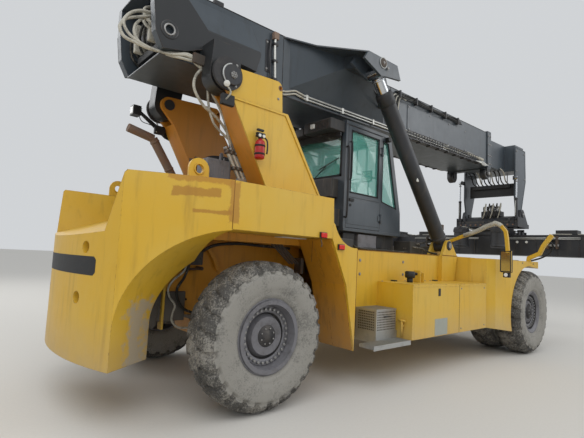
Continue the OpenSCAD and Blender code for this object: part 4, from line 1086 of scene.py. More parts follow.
class STACKER_OT_engine(bpy.types.Operator):
    """Builds the hood's slats, the air cleaner's clamps and the exhaust's fittings"""

    bl_idname = "stacker.engine"
    bl_label = "Engine Hood"

    def execute(self, context):
        hood = Shape()
        for _, sign in SIDES:
            hood.use("dusty_black_enamel")
            for k in range(14):
                z = 2.02 + 0.035 * k
                for x0, x1 in ((-0.50, -0.05), (0.05, 0.60), (0.70, 1.30)):
                    side_box(hood, sign, (x0, 0.592, z), (x1, 0.598, z + 0.016))
        hood.use("dusty_black_enamel")
        for k in range(16):
            y = -0.54 + 0.072 * k
            hood.box(at(-0.547, y - 0.022, 2.0), at(-0.538, y + 0.022, 2.50), 0.002)
        hood.use("black_enamel")
        for x in (-0.30, 0.02, 0.62, 0.94):
            hood.box(at(x, -0.56, 2.558), at(x + 0.03, 0.56, 2.572), 0.004)
        hood.use("bolt_steel")
        for x in (-0.48, 0.0, 0.60, 1.28):
            for y in (-0.55, 0.55):
                hood.bolt(at(x, y, 2.56), (0, 0, 1), 0.024, 0.012)
        # Box behind the pipes
        hood.use("rim_enamel")
        hood.box(at(-0.35, -0.56, 2.5601), at(-0.02, -0.30, 2.81), 0.01)
        for k in range(9):
            hood.box(at(-0.335 + 0.036 * k, -0.564, 2.58), at(-0.325 + 0.036 * k, -0.559, 2.79))
        pipe_run(hood, [at(-0.08, -0.40, 2.81), at(-0.06, -0.38, 2.92), at(0.06, -0.20, 2.96),
            at(0.14, -0.02, 2.92)], 0.02)
        hood.piece("engine_hood_details", "chassis", "black_paint")

        cleaner = Shape().use("moulded_plastic")
        axis = (0, 0, 1)
        base = at(0.30, 0.30, 2.56)
        cleaner.revolve([(0.1895, 0.42), (0.196, 0.425), (0.196, 0.45), (0.17, 0.478), (0.10, 0.49),
            (0, 0.494)], base, axis, 56)
        for k in range(6):
            cleaner.revolve([(0.190, 0.05 + 0.06 * k), (0.1945, 0.056 + 0.06 * k), (0.1945, 0.074 + 0.06 * k),
                (0.190, 0.08 + 0.06 * k)], base, axis, 56)
        cleaner.use("bolt_steel")
        for k in range(3):
            a = 2 * math.pi * k / 3 + 0.4
            spot = base + Vector((math.cos(a), math.sin(a), 0)) * 0.196
            cleaner.box(spot + Vector((-0.008, -0.008, 0.37)), spot + Vector((0.008, 0.008, 0.45)), 0.002)
        cleaner.use("hose_rubber")
        pipe_run(cleaner, [base + Vector((-0.19, -0.05, 0.16)), base + Vector((-0.30, -0.10, 0.16)),
            base + Vector((-0.36, -0.14, 0.08)), base + Vector((-0.36, -0.15, 0.0))], 0.065, 6, 20)
        cleaner.piece("air_cleaner_details", "chassis", "cab_plastic")

        pipe = Shape().use("rusted_exhaust")
        low, high = at(0.17, 1.0, 2.435), at(-0.42, 1.0, 3.30)
        up = (high - low).normalized()
        length = (high - low).length
        for share in (0.12, 0.5, 0.93):
            pipe.revolve([(0.0655, 0), (0.071, 0.003), (0.071, 0.028), (0.0655, 0.031)],
                low + up * length * share, up, 32)
        for k in range(18):
            pipe.revolve([(0.0652, 0), (0.0685, 0.006), (0.0652, 0.012)],
                low + up * (length * 0.16 + 0.014 * k), up, 32)
        tail = (at(-0.79, 1.0, 3.38) - at(-0.42, 1.0, 3.30)).normalized()
        pipe.revolve([(0.040, 0.0), (0.056, 0.002), (0.0605, 0.010), (0.0625, -0.05), (0.0625, -0.30)],
            at(-0.79, 1.0, 3.38) - tail * 0.001, tail, 32)
        pipe.use("bare_iron")
        pipe.rod(low + up * 0.46, at(0.0, 0.941, 2.80), 0.012, 10)
        pipe.use("bolt_steel")
        for share in (0.12, 0.5, 0.93):
            pipe.bolt(low + up * (length * share + 0.015) + Vector((0.0, 0.072, 0)), (0, 1, 0), 0.022, 0.022)
        pipe.piece("exhaust_fittings", "chassis", "rusty_pipe")
        return {"FINISHED"}


# Boom

# Underside and top of the level boom, above the pivot
BOOM_LOW, BOOM_TOP = 0.175, 1.065
HEEL_HOSES = (
    (0.019, ((-1.07, -.30, 4.44), (-1.22, -.30, 4.40), (-1.34, -.32, 4.30), (-1.42, -.34, 4.15),
             (-1.44, -.36, 4.08), (-1.39, -.38, 3.99), (-1.27, -.40, 3.96), (-1.13, -.44, 3.93),
             (-.98, -.48, 3.93), (-.82, -.56, 3.94), (-.71, -.62, 3.94), (-.61, -.64, 3.88),
             (-.56, -.64, 3.82))),
    (0.017, ((-1.04, -.25, 4.49), (-1.20, -.28, 4.30), (-1.26, -.30, 4.19), (-1.26, -.34, 4.07),
             (-1.18, -.38, 3.97), (-1.06, -.42, 3.95), (-.92, -.52, 3.90), (-.80, -.60, 3.88),
             (-.67, -.63, 3.88))),
    (0.017, ((-1.07, -.30, 4.40), (-1.25, -.30, 4.31), (-1.37, -.32, 4.23), (-1.40, -.36, 4.14),
             (-1.34, -.38, 4.04), (-1.23, -.42, 3.97), (-1.10, -.46, 3.93), (-.93, -.55, 3.90),
             (-.77, -.62, 3.92), (-.65, -.64, 3.90))),
    (0.020, ((-0.74, .05, 4.62), (-0.96, .02, 4.60), (-1.08, -.06, 4.50), (-1.10, -.16, 4.36),
             (-1.04, -.26, 4.26), (-0.90, -.34, 4.20), (-0.74, -.38, 4.16))),
    (0.020, ((-0.74, -.06, 4.66), (-0.98, -.10, 4.63), (-1.12, -.18, 4.52), (-1.13, -.26, 4.38),
             (-1.05, -.34, 4.28), (-0.90, -.40, 4.24), (-0.74, -.43, 4.20))),
)
TOWER_HOSES = (
    (0.017, ((-.67, -.63, 3.88), (-.52, -.63, 3.80), (-.44, -.625, 3.68), (-.38, -.62, 3.57),
             (-.28, -.62, 3.44), (-.17, -.60, 3.28), (-.11, -.585, 3.13), (-.06, -.575, 3.03),
             (-.035, -.566, 2.97))),
    (0.017, ((-.56, -.64, 3.82), (-.63, -.66, 3.72), (-.66, -.67, 3.63), (-.65, -.67, 3.54),
             (-.59, -.66, 3.46), (-.49, -.64, 3.38), (-.36, -.62, 3.33), (-.22, -.60, 3.25),
             (-.09, -.58, 3.13), (-.04, -.57, 3.04), (-.01, -.566, 2.96))),
    (0.015, ((-.65, -.64, 3.90), (-.55, -.64, 3.84), (-.47, -.63, 3.72), (-.45, -.63, 3.56),
             (-.43, -.62, 3.45), (-.39, -.62, 3.32), (-.30, -.60, 3.20), (-.12, -.58, 3.10),
             (.02, -.57, 3.02), (.07, -.566, 2.95))),
)


def boom_box(shape, low, high, bevel=0.004):
    """A box given in the level boom's place: x from the rear axle, y, and height above the pivot."""
    made = shape.box(Vector(low), Vector(high), bevel)
    for v in made:
        v.co = on_boom(*v.co)


def side_boom_box(shape, sign, low, high, bevel=0.004):
    """A box on the level boom given for the left side, or its mirror image on the right."""
    y0, y1 = sorted((sign * low[1], sign * high[1]))
    boom_box(shape, (low[0], y0, low[2]), (high[0], y1, high[2]), bevel)


def boom_run(shape, sign, points, *sizes):
    """A hose on the boom given for the left side, or its mirror image on the right."""
    pipe_run(shape, [on_boom(x, sign * y, up) for x, y, up in points], *sizes)


class STACKER_OT_boom_heel(bpy.types.Operator):
    """Builds the hoses, rings and mechanism at the boom's rear end"""

    bl_idname = "stacker.boom_heel"
    bl_label = "Boom Heel"

    def execute(self, context):
        hoses = Shape().use("pale_hose_cover")
        for radius, points in HEEL_HOSES:
            pipe_run(hoses, [at(*p) for p in points], radius)
        hoses.use("bolt_steel")
        for radius, points in HEEL_HOSES:
            first, second = at(*points[0]), at(*points[1])
            fitting(hoses, first, first - second, radius)
        hoses.piece("boom_heel_hoses", "boom_outer", "black_paint")

        fixed = Shape().use("pale_hose_cover")
        for radius, points in TOWER_HOSES:
            pipe_run(fixed, [at(*p) for p in points], radius)
        fixed.use("bolt_steel")
        for radius, points in TOWER_HOSES:
            last, before = at(*points[-1]), at(*points[-2])
            fitting(fixed, last - (last - before) * 0.9, last - before, radius)
        fixed.use("bare_iron")
        fixed.box(at(-0.70, -0.70, 3.84), at(-0.52, -0.662, 3.96), 0.006)
        fixed.piece("tower_hoses", "chassis", "black_paint")

        heel = Shape().use("slate_enamel")
        # The mouth of the boom: bulkhead, telescoping cylinder's eye, rollers
        boom_box(heel, (-0.70, -0.483, 0.192), (-0.68, 0.483, 1.048), 0)
        heel.use("pale_hose_cover")
        for y in (-0.22, 0.22):
            boom_box(heel, (-1.06, y - 0.035, 0.42), (-0.69, y + 0.035, 0.78), 0.015)
        heel.use("rim_enamel")
        for y in (-0.34, -0.12, 0.10, 0.33):
            spot = on_boom(-0.93, y, 0.58)
            heel.rod(spot, spot + Vector((0, 0.07, 0)), 0.085, 28, bevel=0.008)
        heel.use("bolt_steel")
        heel.rod(on_boom(-0.93, -0.40, 0.58), on_boom(-0.93, 0.40, 0.58), 0.045, 24, bevel=0.006)
        heel.use("moulded_plastic")
        for z, y0, y1 in ((0.86, -0.42, -0.05), (0.90, 0.05, 0.38), (0.30, -0.36, 0.30)):
            boom_box(heel, (-0.98, y0, z), (-0.72, y1, z + 0.09), 0.01)
        heel.use("hose_rubber")
        for k in range(6):
            y = -0.40 + 0.15 * k
            pipe_run(heel, [on_boom(-0.72, y, 0.80), on_boom(-0.90, y + 0.02, 0.86),
                on_boom(-1.02, y + 0.06, 0.70), on_boom(-1.00, y + 0.10, 0.45),
                on_boom(-0.80, y + 0.10, 0.30), on_boom(-0.70, y + 0.08, 0.27)], 0.016, 5)
        heel.use("bolt_steel")
        for y in (-0.38, -0.20, 0.18, 0.36):
            for up in (0.25, 0.98):
                heel.bolt(on_boom(-0.701, y, up), (-1, 0, 0), 0.036, 0.02)
        heel.piece("boom_heel_gear", "boom_outer", "slate_paint")

        marks = Shape()
        for _, sign in SIDES:
            out = (0, sign, 0)
            marks.use("bolt_steel")
            ring(marks, on_boom(-0.958, sign * 0.594, 0.444), out, 0.050, 0.072, 0.010, 40)
            marks.use("slate_enamel")
            ring(marks, on_boom(-0.958, sign * 0.594, 0.444), out, 0.073, 0.110, 0.005, 40)
            marks.tube([on_boom(x, sign * 0.596, u) for x,
                u in ((-1.150, 0.708), (-1.118, 0.39), (-1.024, 0.207), (-0.754, 0.259), (-0.431, 0.401),
                (0.268, 0.335))], 0.006, 8)
            # Pipe on the boom's side, on its doubler plate
            marks.use("black_enamel")
            side_boom_box(marks, sign, (0.48, 0.5, 0.44), (0.585, 0.507, 0.90), 0.003)
            marks.use("zinc_pipe")
            boom_run(marks, sign, ((0.62, 0.535, 0.95), (0.615, 0.535, 0.80), (0.635, 0.535, 0.40),
                (0.64, 0.535, 0.20)), 0.018)
            marks.use("rusted_exhaust")
            side_boom_box(marks, sign, (0.585, 0.5, 0.93), (0.67, 0.562, 1.03), 0.006)
            marks.use("black_enamel")
            for up in (0.84, 0.60, 0.34):
                side_boom_box(marks, sign, (0.59, 0.5, up), (0.665, 0.556, up + 0.035), 0.004)
            boom_run(marks, sign, ((0.55, 0.525, 0.92), (0.53, 0.53, 0.70), (0.55, 0.53, 0.48),
                (0.58, 0.52, 0.22)), 0.012, 5)
            marks.use("bolt_steel")
            for up in (0.48, 0.86):
                marks.bolt(on_boom(0.50, sign * 0.507, up), out, 0.022, 0.012)
        marks.use("black_enamel")
        boom_box(marks, (-0.35, -0.50, BOOM_TOP), (-0.21, -0.44, 1.12), 0.01)
        boom_box(marks, (-0.33, -0.30, BOOM_TOP), (-0.23, 0.30, 1.085), 0.004)
        marks.piece("boom_rear_details", "boom_outer", "slate_paint")
        return {"FINISHED"}


def sling(shape, points, radius, drop, count=6):
    """A loose hose that sags a little between clamps."""
    line = []
    for a, b in zip(points, points[1:]):
        a, b = Vector(a), Vector(b)
        for k in range(count):
            t = k / count
            line.append(a.lerp(b, t) - Vector((0, 0, drop * 4 * t * (1 - t))))
    line.append(Vector(points[-1]))
    shape.tube(line, radius, 8)


class STACKER_OT_boom_sides(bpy.types.Operator):
    """Builds the pipes, trays, plates and seams along the boom"""

    bl_idname = "stacker.boom_sides"
    bl_label = "Boom Sides"

    def execute(self, context):
        rng = random.Random(71)
        seams = Shape().use("black_enamel")
        for _, sign in SIDES:
            y = sign * 0.501
            for up in (0.182, 1.058):
                seams.tube([on_boom(-0.70 if up > 1 else -0.40, y, up), on_boom(7.64, y, up)], 0.006, 8)
            for x in (0.80, 3.40, 5.30):
                seams.tube([on_boom(x, y, 0.18), on_boom(x, y, 1.06)], 0.004, 8)
            seams.use("slate_enamel")
            side_boom_box(seams, sign, (7.45, 0.5, BOOM_LOW), (7.640, 0.530, BOOM_TOP), 0.006)
            seams.use("black_enamel")
        seams.use("slate_enamel")
        boom_box(seams, (7.45, -0.53, BOOM_TOP), (7.640, 0.53, 1.095), 0.006)
        boom_box(seams, (7.45, -0.53, 0.145), (7.640, 0.53, BOOM_LOW), 0.006)
        boom_box(seams, (3.10, -0.50, BOOM_TOP), (3.30, 0.50, 1.085), 0.004)
        boom_box(seams, (5.20, -0.20, BOOM_TOP), (5.34, 0.20, 1.10), 0.008)
        boom_box(seams, (6.30, -0.16, BOOM_TOP), (6.40, 0.16, 1.10), 0.008)
        seams.use("bolt_steel")
        for x in (7.49, 7.60):
            for y in (-0.42, -0.14, 0.14, 0.42):
                seams.bolt(on_boom(x, y, 1.095), (0, 0, 1), 0.030, 0.016)
            for up in (0.27, 0.48, 0.76, 0.97):
                for _, sign in SIDES:
                    seams.bolt(on_boom(x, sign * 0.53, up), (0, sign, 0), 0.030, 0.016)
        seams.piece("boom_seams", "boom_outer", "slate_paint")

        trays = Shape()
        for _, sign in SIDES:
            # Fixed pipes bend up round the wing, then hoses lie in a tray to the front
            trays.use("pale_hose_cover")
            for k, up in enumerate((0.237, 0.283)):
                y = sign * 0.524
                pipe_run(trays, [on_boom(0.74, sign * 0.512, up - 0.05), on_boom(0.86, y, up - 0.035),
                    on_boom(1.02, y, up + 0.02), on_boom(1.10, y, up + 0.015), on_boom(1.205, y, up)], 0.014)
            trays.use("black_enamel")
            for x0, x1 in ((3.85, 5.35), (5.45, 6.85)):
                side_boom_box(trays, sign, (x0, 0.501, 0.178), (x1, 0.59, 0.186), 0)
                side_boom_box(trays, sign, (x0, 0.583, 0.178), (x1, 0.59, 0.205), 0)
                side_boom_box(trays, sign, (x0, 0.583, 0.318), (x1, 0.59, 0.335), 0)
                for m in range(int((x1 - x0) / 0.10)):
                    x = x0 + 0.10 * m
                    side_boom_box(trays, sign, (x, 0.583, 0.200), (x + 0.020, 0.59, 0.322), 0)
            for k in range(9):
                x = 3.92 + 0.36 * k
                side_boom_box(trays, sign, (x, 0.50, 0.16), (x + 0.05, 0.60, 0.178), 0.002)
            for k in range(9):
                y = sign * (0.520 + 0.0065 * k)
                trays.use(("hose_rubber", "pale_hose_cover", "zinc_pipe")[k % 3])
                clamp = [on_boom(3.70 + 0.55 * m, y, 0.205 + 0.014 * k + rng.uniform(-0.008, 0.012))
                    for m in range(6)]
                sling(trays, clamp, 0.009, rng.uniform(-0.01, 0.015))
            # Upper bundle along the top edge and the folded hoses behind the plate
            for k in range(5):
                trays.use(("black_rubber", "hose_rubber")[k % 2])
                y = sign * (0.512 + 0.012 * k)
                clamp = [on_boom(3.55 + 0.62 * m, y, 1.02 - 0.022 * k + rng.uniform(-0.012, 0.02))
                    for m in range(5)]
                sling(trays, clamp, 0.010, rng.uniform(0.0, 0.02))
            trays.use("black_enamel")
            for k in range(5):
                x = 3.62 + 0.56 * k
                side_boom_box(trays, sign, (x, 0.5, 0.90), (x + 0.03, 0.574, 1.045), 0.003)
            for k in range(9):
                trays.use(("black_rubber", "hose_rubber", "pale_hose_cover")[k % 3])
                x = 3.30 + 0.035 * k
                boom_run(trays, sign, ((x + 0.24, 0.51 + 0.006 * k, 0.98 - 0.01 * k), (x + 0.06, 0.555, 0.90),
                    (x - 0.02, 0.565, 0.68), (x, 0.56, 0.45), (x + 0.12, 0.545, 0.27),
                    (x + 0.40, 0.53, 0.215)), 0.011, 5, 8)
            # Blank plate between the bundles
            trays.use("slate_enamel")
            side_boom_box(trays, sign, (3.95, 0.5, 0.36), (6.35, 0.510, 0.86), 0.004)
            trays.use("bolt_steel")
            for x in (4.0, 4.78, 5.54, 6.30):
                for up in (0.39, 0.83):
                    trays.bolt(on_boom(x, sign * 0.510, up), (0, sign, 0), 0.024, 0.012)
            # Thick pipe that comes out near the front
            trays.use("pale_hose_cover")
            trays.rod(on_boom(6.30, sign * 0.56, 0.33), on_boom(7.10, sign * 0.56, 0.30), 0.030, 16,
                bevel=0.004)
            trays.use("zinc_pipe")
            for k in range(5):
                boom_run(trays, sign, ((6.75 + 0.02 * k, 0.52, 0.23),
                    (6.95, 0.55 + 0.008 * k, 0.24 - 0.01 * k), (7.15, 0.55, 0.26 - 0.02 * k),
                    (7.35 + 0.02 * k, 0.545, 0.22)), 0.010, 5, 8)
        trays.piece("boom_hose_trays", "boom_outer", "black_paint")

        rollers = Shape()
        for _, sign in SIDES:
            rollers.use("black_enamel")
            a = sign * 0.36
            b = sign * 0.50
            rollers.rod(on_boom(7.50, a, 0.02), on_boom(7.50, b, 0.02), 0.135, 40, bevel=0.012)
            for y in (a - sign * 0.03, b + sign * 0.006):
                boom_box(rollers, (7.42, min(y, y + sign * 0.022), -0.02),
                    (7.58, max(y, y + sign * 0.022), 0.17), 0.006)
            rollers.use("bolt_steel")
            rollers.rod(on_boom(7.50, b + sign * 0.02, 0.02), on_boom(7.50, b + sign * 0.05, 0.02), 0.045, 20,
                bevel=0.006)
            ring(rollers, on_boom(7.50, b + sign * 0.001, 0.02), (0, sign, 0), 0.095, 0.105, 0.004)
        rollers.piece("boom_end_rollers", "boom_outer", "black_paint")
        return {"FINISHED"}


class STACKER_OT_lift_cylinders(bpy.types.Operator):
    """Builds the glands, pipes and pins of the lift cylinders"""

    bl_idname = "stacker.lift_cylinders"
    bl_label = "Lift Cylinders"

    def execute(self, context):
        low_x, low_z, top_x, top_z = 4.19, 1.98, 2.12, 4.52
        along = Vector((top_x - low_x, 0, top_z - low_z))
        length = along.length
        along.normalize()
        back = Vector((-along.z, 0, along.x))
        for side, sign in SIDES:
            base = at(low_x, sign * 1.125, low_z)
            gland_at = length - 0.330
            gear = Shape().use("black_enamel")
            gear.revolve([(0.1275, -0.20), (0.137, -0.195), (0.137, -0.03), (0.130, -0.01), (0.124, 0.004),
                (0.094, 0.006), (0.0912, 0.0)], base + along * gland_at, along, 48)
            gear.revolve([(0.1275, 0.16), (0.134, 0.165), (0.134, 0.21), (0.1275, 0.215)], base, along, 48)
            gear.use("bolt_steel")
            for a in circle(10):
                ray = Vector((0, math.cos(a), 0)) + back * math.sin(a)
                gear.bolt(base + along * (gland_at - 0.008) + ray * 0.112, along, 0.020, 0.012, False)
            # Pipe on the front of the barrel, with its clamps
            front = -back
            gear.use("zinc_pipe")
            start = base + along * 0.36 + front * 0.158
            gear.tube(smooth_path([base + along * 0.26 + front * 0.120, base + along * 0.30 + front * 0.150,
                start, base + along * (gland_at * 0.5) + front * 0.158,
                base + along * (gland_at - 0.28) + front * 0.158,
                base + along * (gland_at - 0.16) + front * 0.150,
                base + along * (gland_at - 0.12) + front * 0.125], 5), 0.013, 10)
            gear.use("moulded_plastic")
            for share in (0.22, 0.42, 0.62, 0.82):
                spot = base + along * (gland_at * share) + front * 0.150
                gear.box(spot + Vector((-0.035, -0.022, -0.035)), spot + Vector((0.035, 0.022, 0.035)), 0.004)
            gear.use("bare_iron")
            block = base + along * 0.30 + front * 0.145
            gear.box(block + Vector((-0.05, -0.06, -0.05)), block + Vector((0.05, 0.06, 0.05)), 0.008)
            gear.use("dial_white")
            gear.box(base + along * 1.42 + back * 0.090 + Vector((-0.02, sign * 0.085 - 0.012, -0.03)),
                base + along * 1.42 + back * 0.090 + Vector((0.02, sign * 0.085 + 0.012, 0.03)), 0.006)
            gear.piece(f"lift_barrel_gear_{side}", f"lift_barrel_{side}", "black_paint")

            foot = Shape().use("bolt_steel")
            for y in (1.296, 0.953):
                out = (0, sign * (1 if y > 1.1 else -1), 0)
                disc(foot, at(low_x, sign * y, low_z), out, 0.052, 0.006, 32)
            spot = at(low_x, sign * 1.2755, low_z)
            foot.use("black_enamel")
            ring(foot, spot, (0, sign, 0), 0.057, 0.085, 0.012)
            foot.piece(f"lift_foot_pin_{side}", "chassis", "plain_steel")

            head = Shape().use("bare_iron")
            eye = on_boom(2.13, sign * 1.271, 0.85)
            disc(head, eye, (0, sign, 0), 0.068, 0.018, 40)
            head.use("mill_aluminium")
            ring(head, eye, (0, sign, 0), 0.070, 0.088, 0.010)
            head.use("bolt_steel")
            for dx, dz in ((0.0, 0.0), (0.10, -0.06)):
                head.bolt(eye + Vector((dx, sign * 0.016, dz)), (0, sign, 0), 0.030, 0.014)
            head.use("black_enamel")
            boom_run(head, sign, ((2.30, 1.10, 0.72), (2.42, 1.02, 0.58), (2.60, 0.86, 0.52),
                (2.85, 0.66, 0.50), (3.10, 0.53, 0.55)), 0.016)
            # Black plate in front of the wing
            outline = [(2.52, 0.93), (2.62, 0.80), (2.80, 0.70), (3.10, 0.62), (3.10, 0.56), (2.75, 0.62),
                (2.56, 0.72), (2.50, 0.80)]
            head.prism(outline, sign * 0.72, sign * 0.745, in_boom)
            head.piece(f"lift_head_pin_{side}", "boom_outer", "black_paint")

            eye_gear = Shape().use("hard_chrome")
            eye_gear.revolve([(0.0912, 0.0), (0.104, 0.004), (0.104, 0.03), (0.0902, 0.034)],
                base + along * (length - 0.13), along, 40)
            eye_gear.use("bolt_steel")
            eye_gear.bolt(base + along * (length + 0.098), along, 0.018, 0.014)
            eye_gear.piece(f"lift_rod_gear_{side}", f"lift_rod_{side}", "bright_rod")
        return {"FINISHED"}


# Cab

# Outer face of its side walls, just inside their surface
CAB_FACE = 0.7298


def frame_rail(shape, corners, place, wide, deep):
    """Flat strips along a closed outline, such as a window's seal."""
    for a, b in zip(corners, corners[1:] + corners[:1]):
        a, b = Vector(a), Vector(b)
        along = (b - a).normalized()
        across = Vector((-along.y, along.x)) * wide / 2
        outline = [a - across - along * wide / 2, b - across + along * wide / 2,
            b + across + along * wide / 2, a + across - along * wide / 2]
        shape.prism([tuple(p) for p in outline], deep[0], deep[1], place)


class STACKER_OT_cab(bpy.types.Operator):
    """Builds the cab's seals, handles, seat, controls and roof equipment"""

    bl_idname = "stacker.cab"
    bl_label = "Cab"

    def execute(self, context):
        for side, sign in SIDES:
            door = Shape().use("black_rubber")
            window = [(2.09, 2.70), (2.79, 2.70), (2.79, 3.69), (2.09, 3.69)]
            frame_rail(door, window, in_xz, 0.024, (sign * 0.7295, sign * 0.7335))
            # Sliding pane inside the window
            frame_rail(door, [(2.27, 3.03), (2.76, 3.03), (2.76, 3.60), (2.27, 3.60)], in_xz, 0.026,
                (sign * 0.694, sign * 0.699))
            frame_rail(door, [(2.50, 3.03), (2.53, 3.03), (2.53, 3.60), (2.50, 3.60)], in_xz, 0.012,
                (sign * 0.694, sign * 0.699))
            door.use("slate_enamel")
            side_box(door, sign, (2.04, CAB_FACE, 2.20), (2.83, 0.734, 2.60), 0.002)
            side_box(door, sign, (2.04, CAB_FACE, 2.625), (2.83, 0.737, 2.645), 0.002)
            door.use("moulded_plastic")
            side_box(door, sign, (2.06, 0.730, 2.56), (2.17, 0.757, 2.605), 0.008)
            side_box(door, sign, (2.085, 0.730, 2.48), (2.115, 0.748, 2.52), 0.004)
            door.tube(smooth_path([at(2.055, sign * 0.735, 2.90), at(2.055, sign * 0.775, 2.93),
                at(2.055, sign * 0.778, 3.20), at(2.055, sign * 0.775, 3.47), at(2.055, sign * 0.735, 3.50)],
                5), 0.011, 10)
            door.piece(f"cab_door_details_{side}", f"cab_door_{side}", "slate_paint")

        shell = Shape()
        for _, sign in SIDES:
            shell.use("black_rubber")
            frame_rail(shell, [(2.905, 2.645), (3.32, 2.567), (3.055, 3.675), (2.905, 3.694)], in_xz, 0.018,
                (sign * 0.7295, sign * 0.7335))
            shell.use("slate_enamel")
            side_box(shell, sign, (1.95, CAB_FACE, 3.772), (3.02, 0.738, 3.826), 0.003)
            side_box(shell, sign, (1.955, CAB_FACE, 2.09), (3.46, 0.737, 2.135), 0.003)
            shell.use("moulded_plastic")
            # Handrail beside the door and the black gear at the cab's foot
            shell.tube(smooth_path([at(1.965, sign * 0.735, 2.30), at(1.965, sign * 0.79, 2.34),
                at(1.965, sign * 0.795, 2.85), at(1.965, sign * 0.79, 3.36), at(1.965, sign * 0.735, 3.40)],
                5), 0.014, 10)
            side_box(shell, sign, (2.02, 0.60, 1.84), (2.30, 0.68, 2.06), 0.01)
            side_box(shell, sign, (2.90, 0.60, 1.86), (3.05, 0.66, 2.05), 0.01)
            shell.use("rim_enamel")
            side_box(shell, sign, (2.36, 0.60, 1.82), (2.84, 0.70, 2.06), 0.01)
            shell.use("hose_rubber")
            side_run(shell, sign, ((2.10, 0.66, 1.86), (2.25, 0.74, 1.83), (2.62, 0.76, 1.84),
                (2.95, 0.74, 1.83), (3.30, 0.62, 1.86)), 0.018)
            shell.use("moulded_plastic")
            side_box(shell, sign, (2.96, CAB_FACE, 3.70), (3.05, 0.80, 3.77), 0.008)
            shell.use("lamp_glass")
            side_box(shell, sign, (3.048, 0.74, 3.708), (3.056, 0.794, 3.762), 0.002)
        # Rear: seal, boxes and the small white lamp behind the roof
        shell.use("black_rubber")
        frame_rail(shell, [(-0.64, 2.96), (0.64, 2.96), (0.64, 3.60), (-0.64, 3.60)], in_yz, 0.03,
            (1.943, 1.951))
        shell.use("dusty_black_enamel")
        for z0, z1, y0, y1, x0 in ((3.63, 3.80, -0.70, -0.10, 1.62), (3.65, 3.78, 0.00, 0.62, 1.70)):
            shell.box(at(x0, y0, z0), at(1.951, y1, z1), 0.012)
        shell.box(at(1.78, -0.60, 2.60), at(1.951, -0.10, 2.90), 0.012)
        shell.box(at(1.80, 0.05, 2.15), at(1.951, 0.60, 2.75), 0.012)
        shell.box(at(1.74, -0.66, 2.15), at(1.951, 0.0, 2.42), 0.012)
        for k in range(6):
            shell.box(at(1.612, -0.66, 3.65 + 0.023 * k), at(1.622, -0.20, 3.662 + 0.023 * k), 0.002)
        shell.use("dial_white")
        shell.box(at(1.585, -0.36, 3.68), at(1.62, -0.28, 3.75), 0.008)
        shell.use("hose_rubber")
        for k in range(5):
            z = 3.625 - 0.022 * k
            pipe_run(shell, [at(1.90, -0.66, z), at(1.80 + 0.015 * k, -0.40, z - 0.01),
                at(1.83, 0.0, z + 0.004), at(1.81 + 0.01 * k, 0.40, z - 0.012), at(1.90, 0.64, z - 0.02)],
                0.012, 5, 8)
        # Wiper on the rear window
        shell.rod(at(1.935, -0.167, 3.095), at(1.935, -0.603, 3.235), 0.010, 8)
        shell.rod(at(1.925, -0.10, 2.97), at(1.932, -0.36, 3.155), 0.008, 8)
        shell.use("black_enamel")
        for z in (3.60, 3.57):
            shell.box(at(1.86, -0.68, z), at(1.90, 0.68, z + 0.025), 0.004)
        shell.use("moulded_plastic")
        # Wiper of the windscreen, roof hatch and the panes
        low, high = at(3.36, -0.20, 2.62), at(3.16, -0.06, 3.32)
        shell.rod(low, high, 0.008, 8)
        shell.rod(at(3.31, -0.14, 2.88), at(3.10, 0.02, 3.56), 0.007, 8)
        shell.use("slate_enamel")
        shell.box(at(2.05, -0.62, 3.828), at(2.44, 0.62, 3.8301), 0.0)
        shell.use("tinted_cab_glass")
        shell.prism([(3.335, 2.57), (3.341, 2.57), (3.066, 3.69), (3.060, 3.69)], -0.645, 0.645, in_xz)
        shell.box(at(2.505, -0.495, 3.79), at(2.995, 0.495, 3.796))
        shell.piece("cab_shell_details", "chassis", "slate_paint")

        inside = Shape().use("seat_fabric")
        x0 = 2.30
        inside.box(at(x0, -0.25, 2.561), at(x0 + 0.46, 0.25, 2.66), 0.035, rows=3)
        inside.box(at(2.331, -0.23, 2.64), at(2.44, 0.23, 3.22), 0.04, rows=3)
        inside.box(at(2.345, -0.13, 3.22), at(2.42, 0.13, 3.42), 0.035, rows=3)
        inside.use("moulded_plastic")
        for y in (-0.31, 0.31):
            inside.box(at(2.40, y - 0.045, 2.74), at(2.78, y + 0.045, 2.80), 0.02)
            inside.box(at(2.36, y - 0.03, 2.45), at(2.48, y + 0.03, 2.75), 0.01)
        inside.rod(at(2.74, -0.31, 2.80), at(2.75, -0.31, 2.93), 0.018, 14, bevel=0.006)
        inside.box(at(2.72, -0.335, 2.91), at(2.79, -0.285, 3.00), 0.014)
        inside.rod(at(3.16, 0, 2.80), at(2.98, 0, 3.02), 0.030, 16)
        axis = (at(2.98, 0, 3.02) - at(3.16, 0, 2.80)).normalized()
        inside.revolve([(0.165, 0), (0.175, -0.012), (0.188, 0), (0.175, 0.012)], at(2.965, 0, 3.035), axis,
            40, closed=True)
        inside.box(at(2.94, -0.17, 3.02), at(2.99, 0.17, 3.05), 0.01)
        inside.box(at(2.93, -0.05, 2.99), at(3.0, 0.05, 3.06), 0.01)
        inside.box(at(3.12, -0.46, 2.62), at(3.30, 0.46, 2.78), 0.03)
        inside.box(at(2.90, -0.50, 3.02), at(2.93, -0.28, 3.22), 0.01)
        inside.rod(at(2.92, -0.42, 2.78), at(2.92, -0.42, 3.02), 0.014, 12)
        inside.box(at(2.25, 0.36, 2.15), at(2.90, 0.62, 2.72), 0.02)
        inside.box(at(2.02, -0.62, 2.15), at(2.18, 0.62, 2.62), 0.02)
        inside.use("black_rubber")
        for y in (-0.14, 0.14):
            inside.box(at(3.06, y - 0.05, 2.18), at(3.14, y + 0.05, 2.26), 0.01)
        inside.use("dial_white")
        inside.box(at(2.899, -0.485, 3.04), at(2.9005, -0.295, 3.205))
        inside.piece("cab_interior_details", "chassis", "cab_plastic")
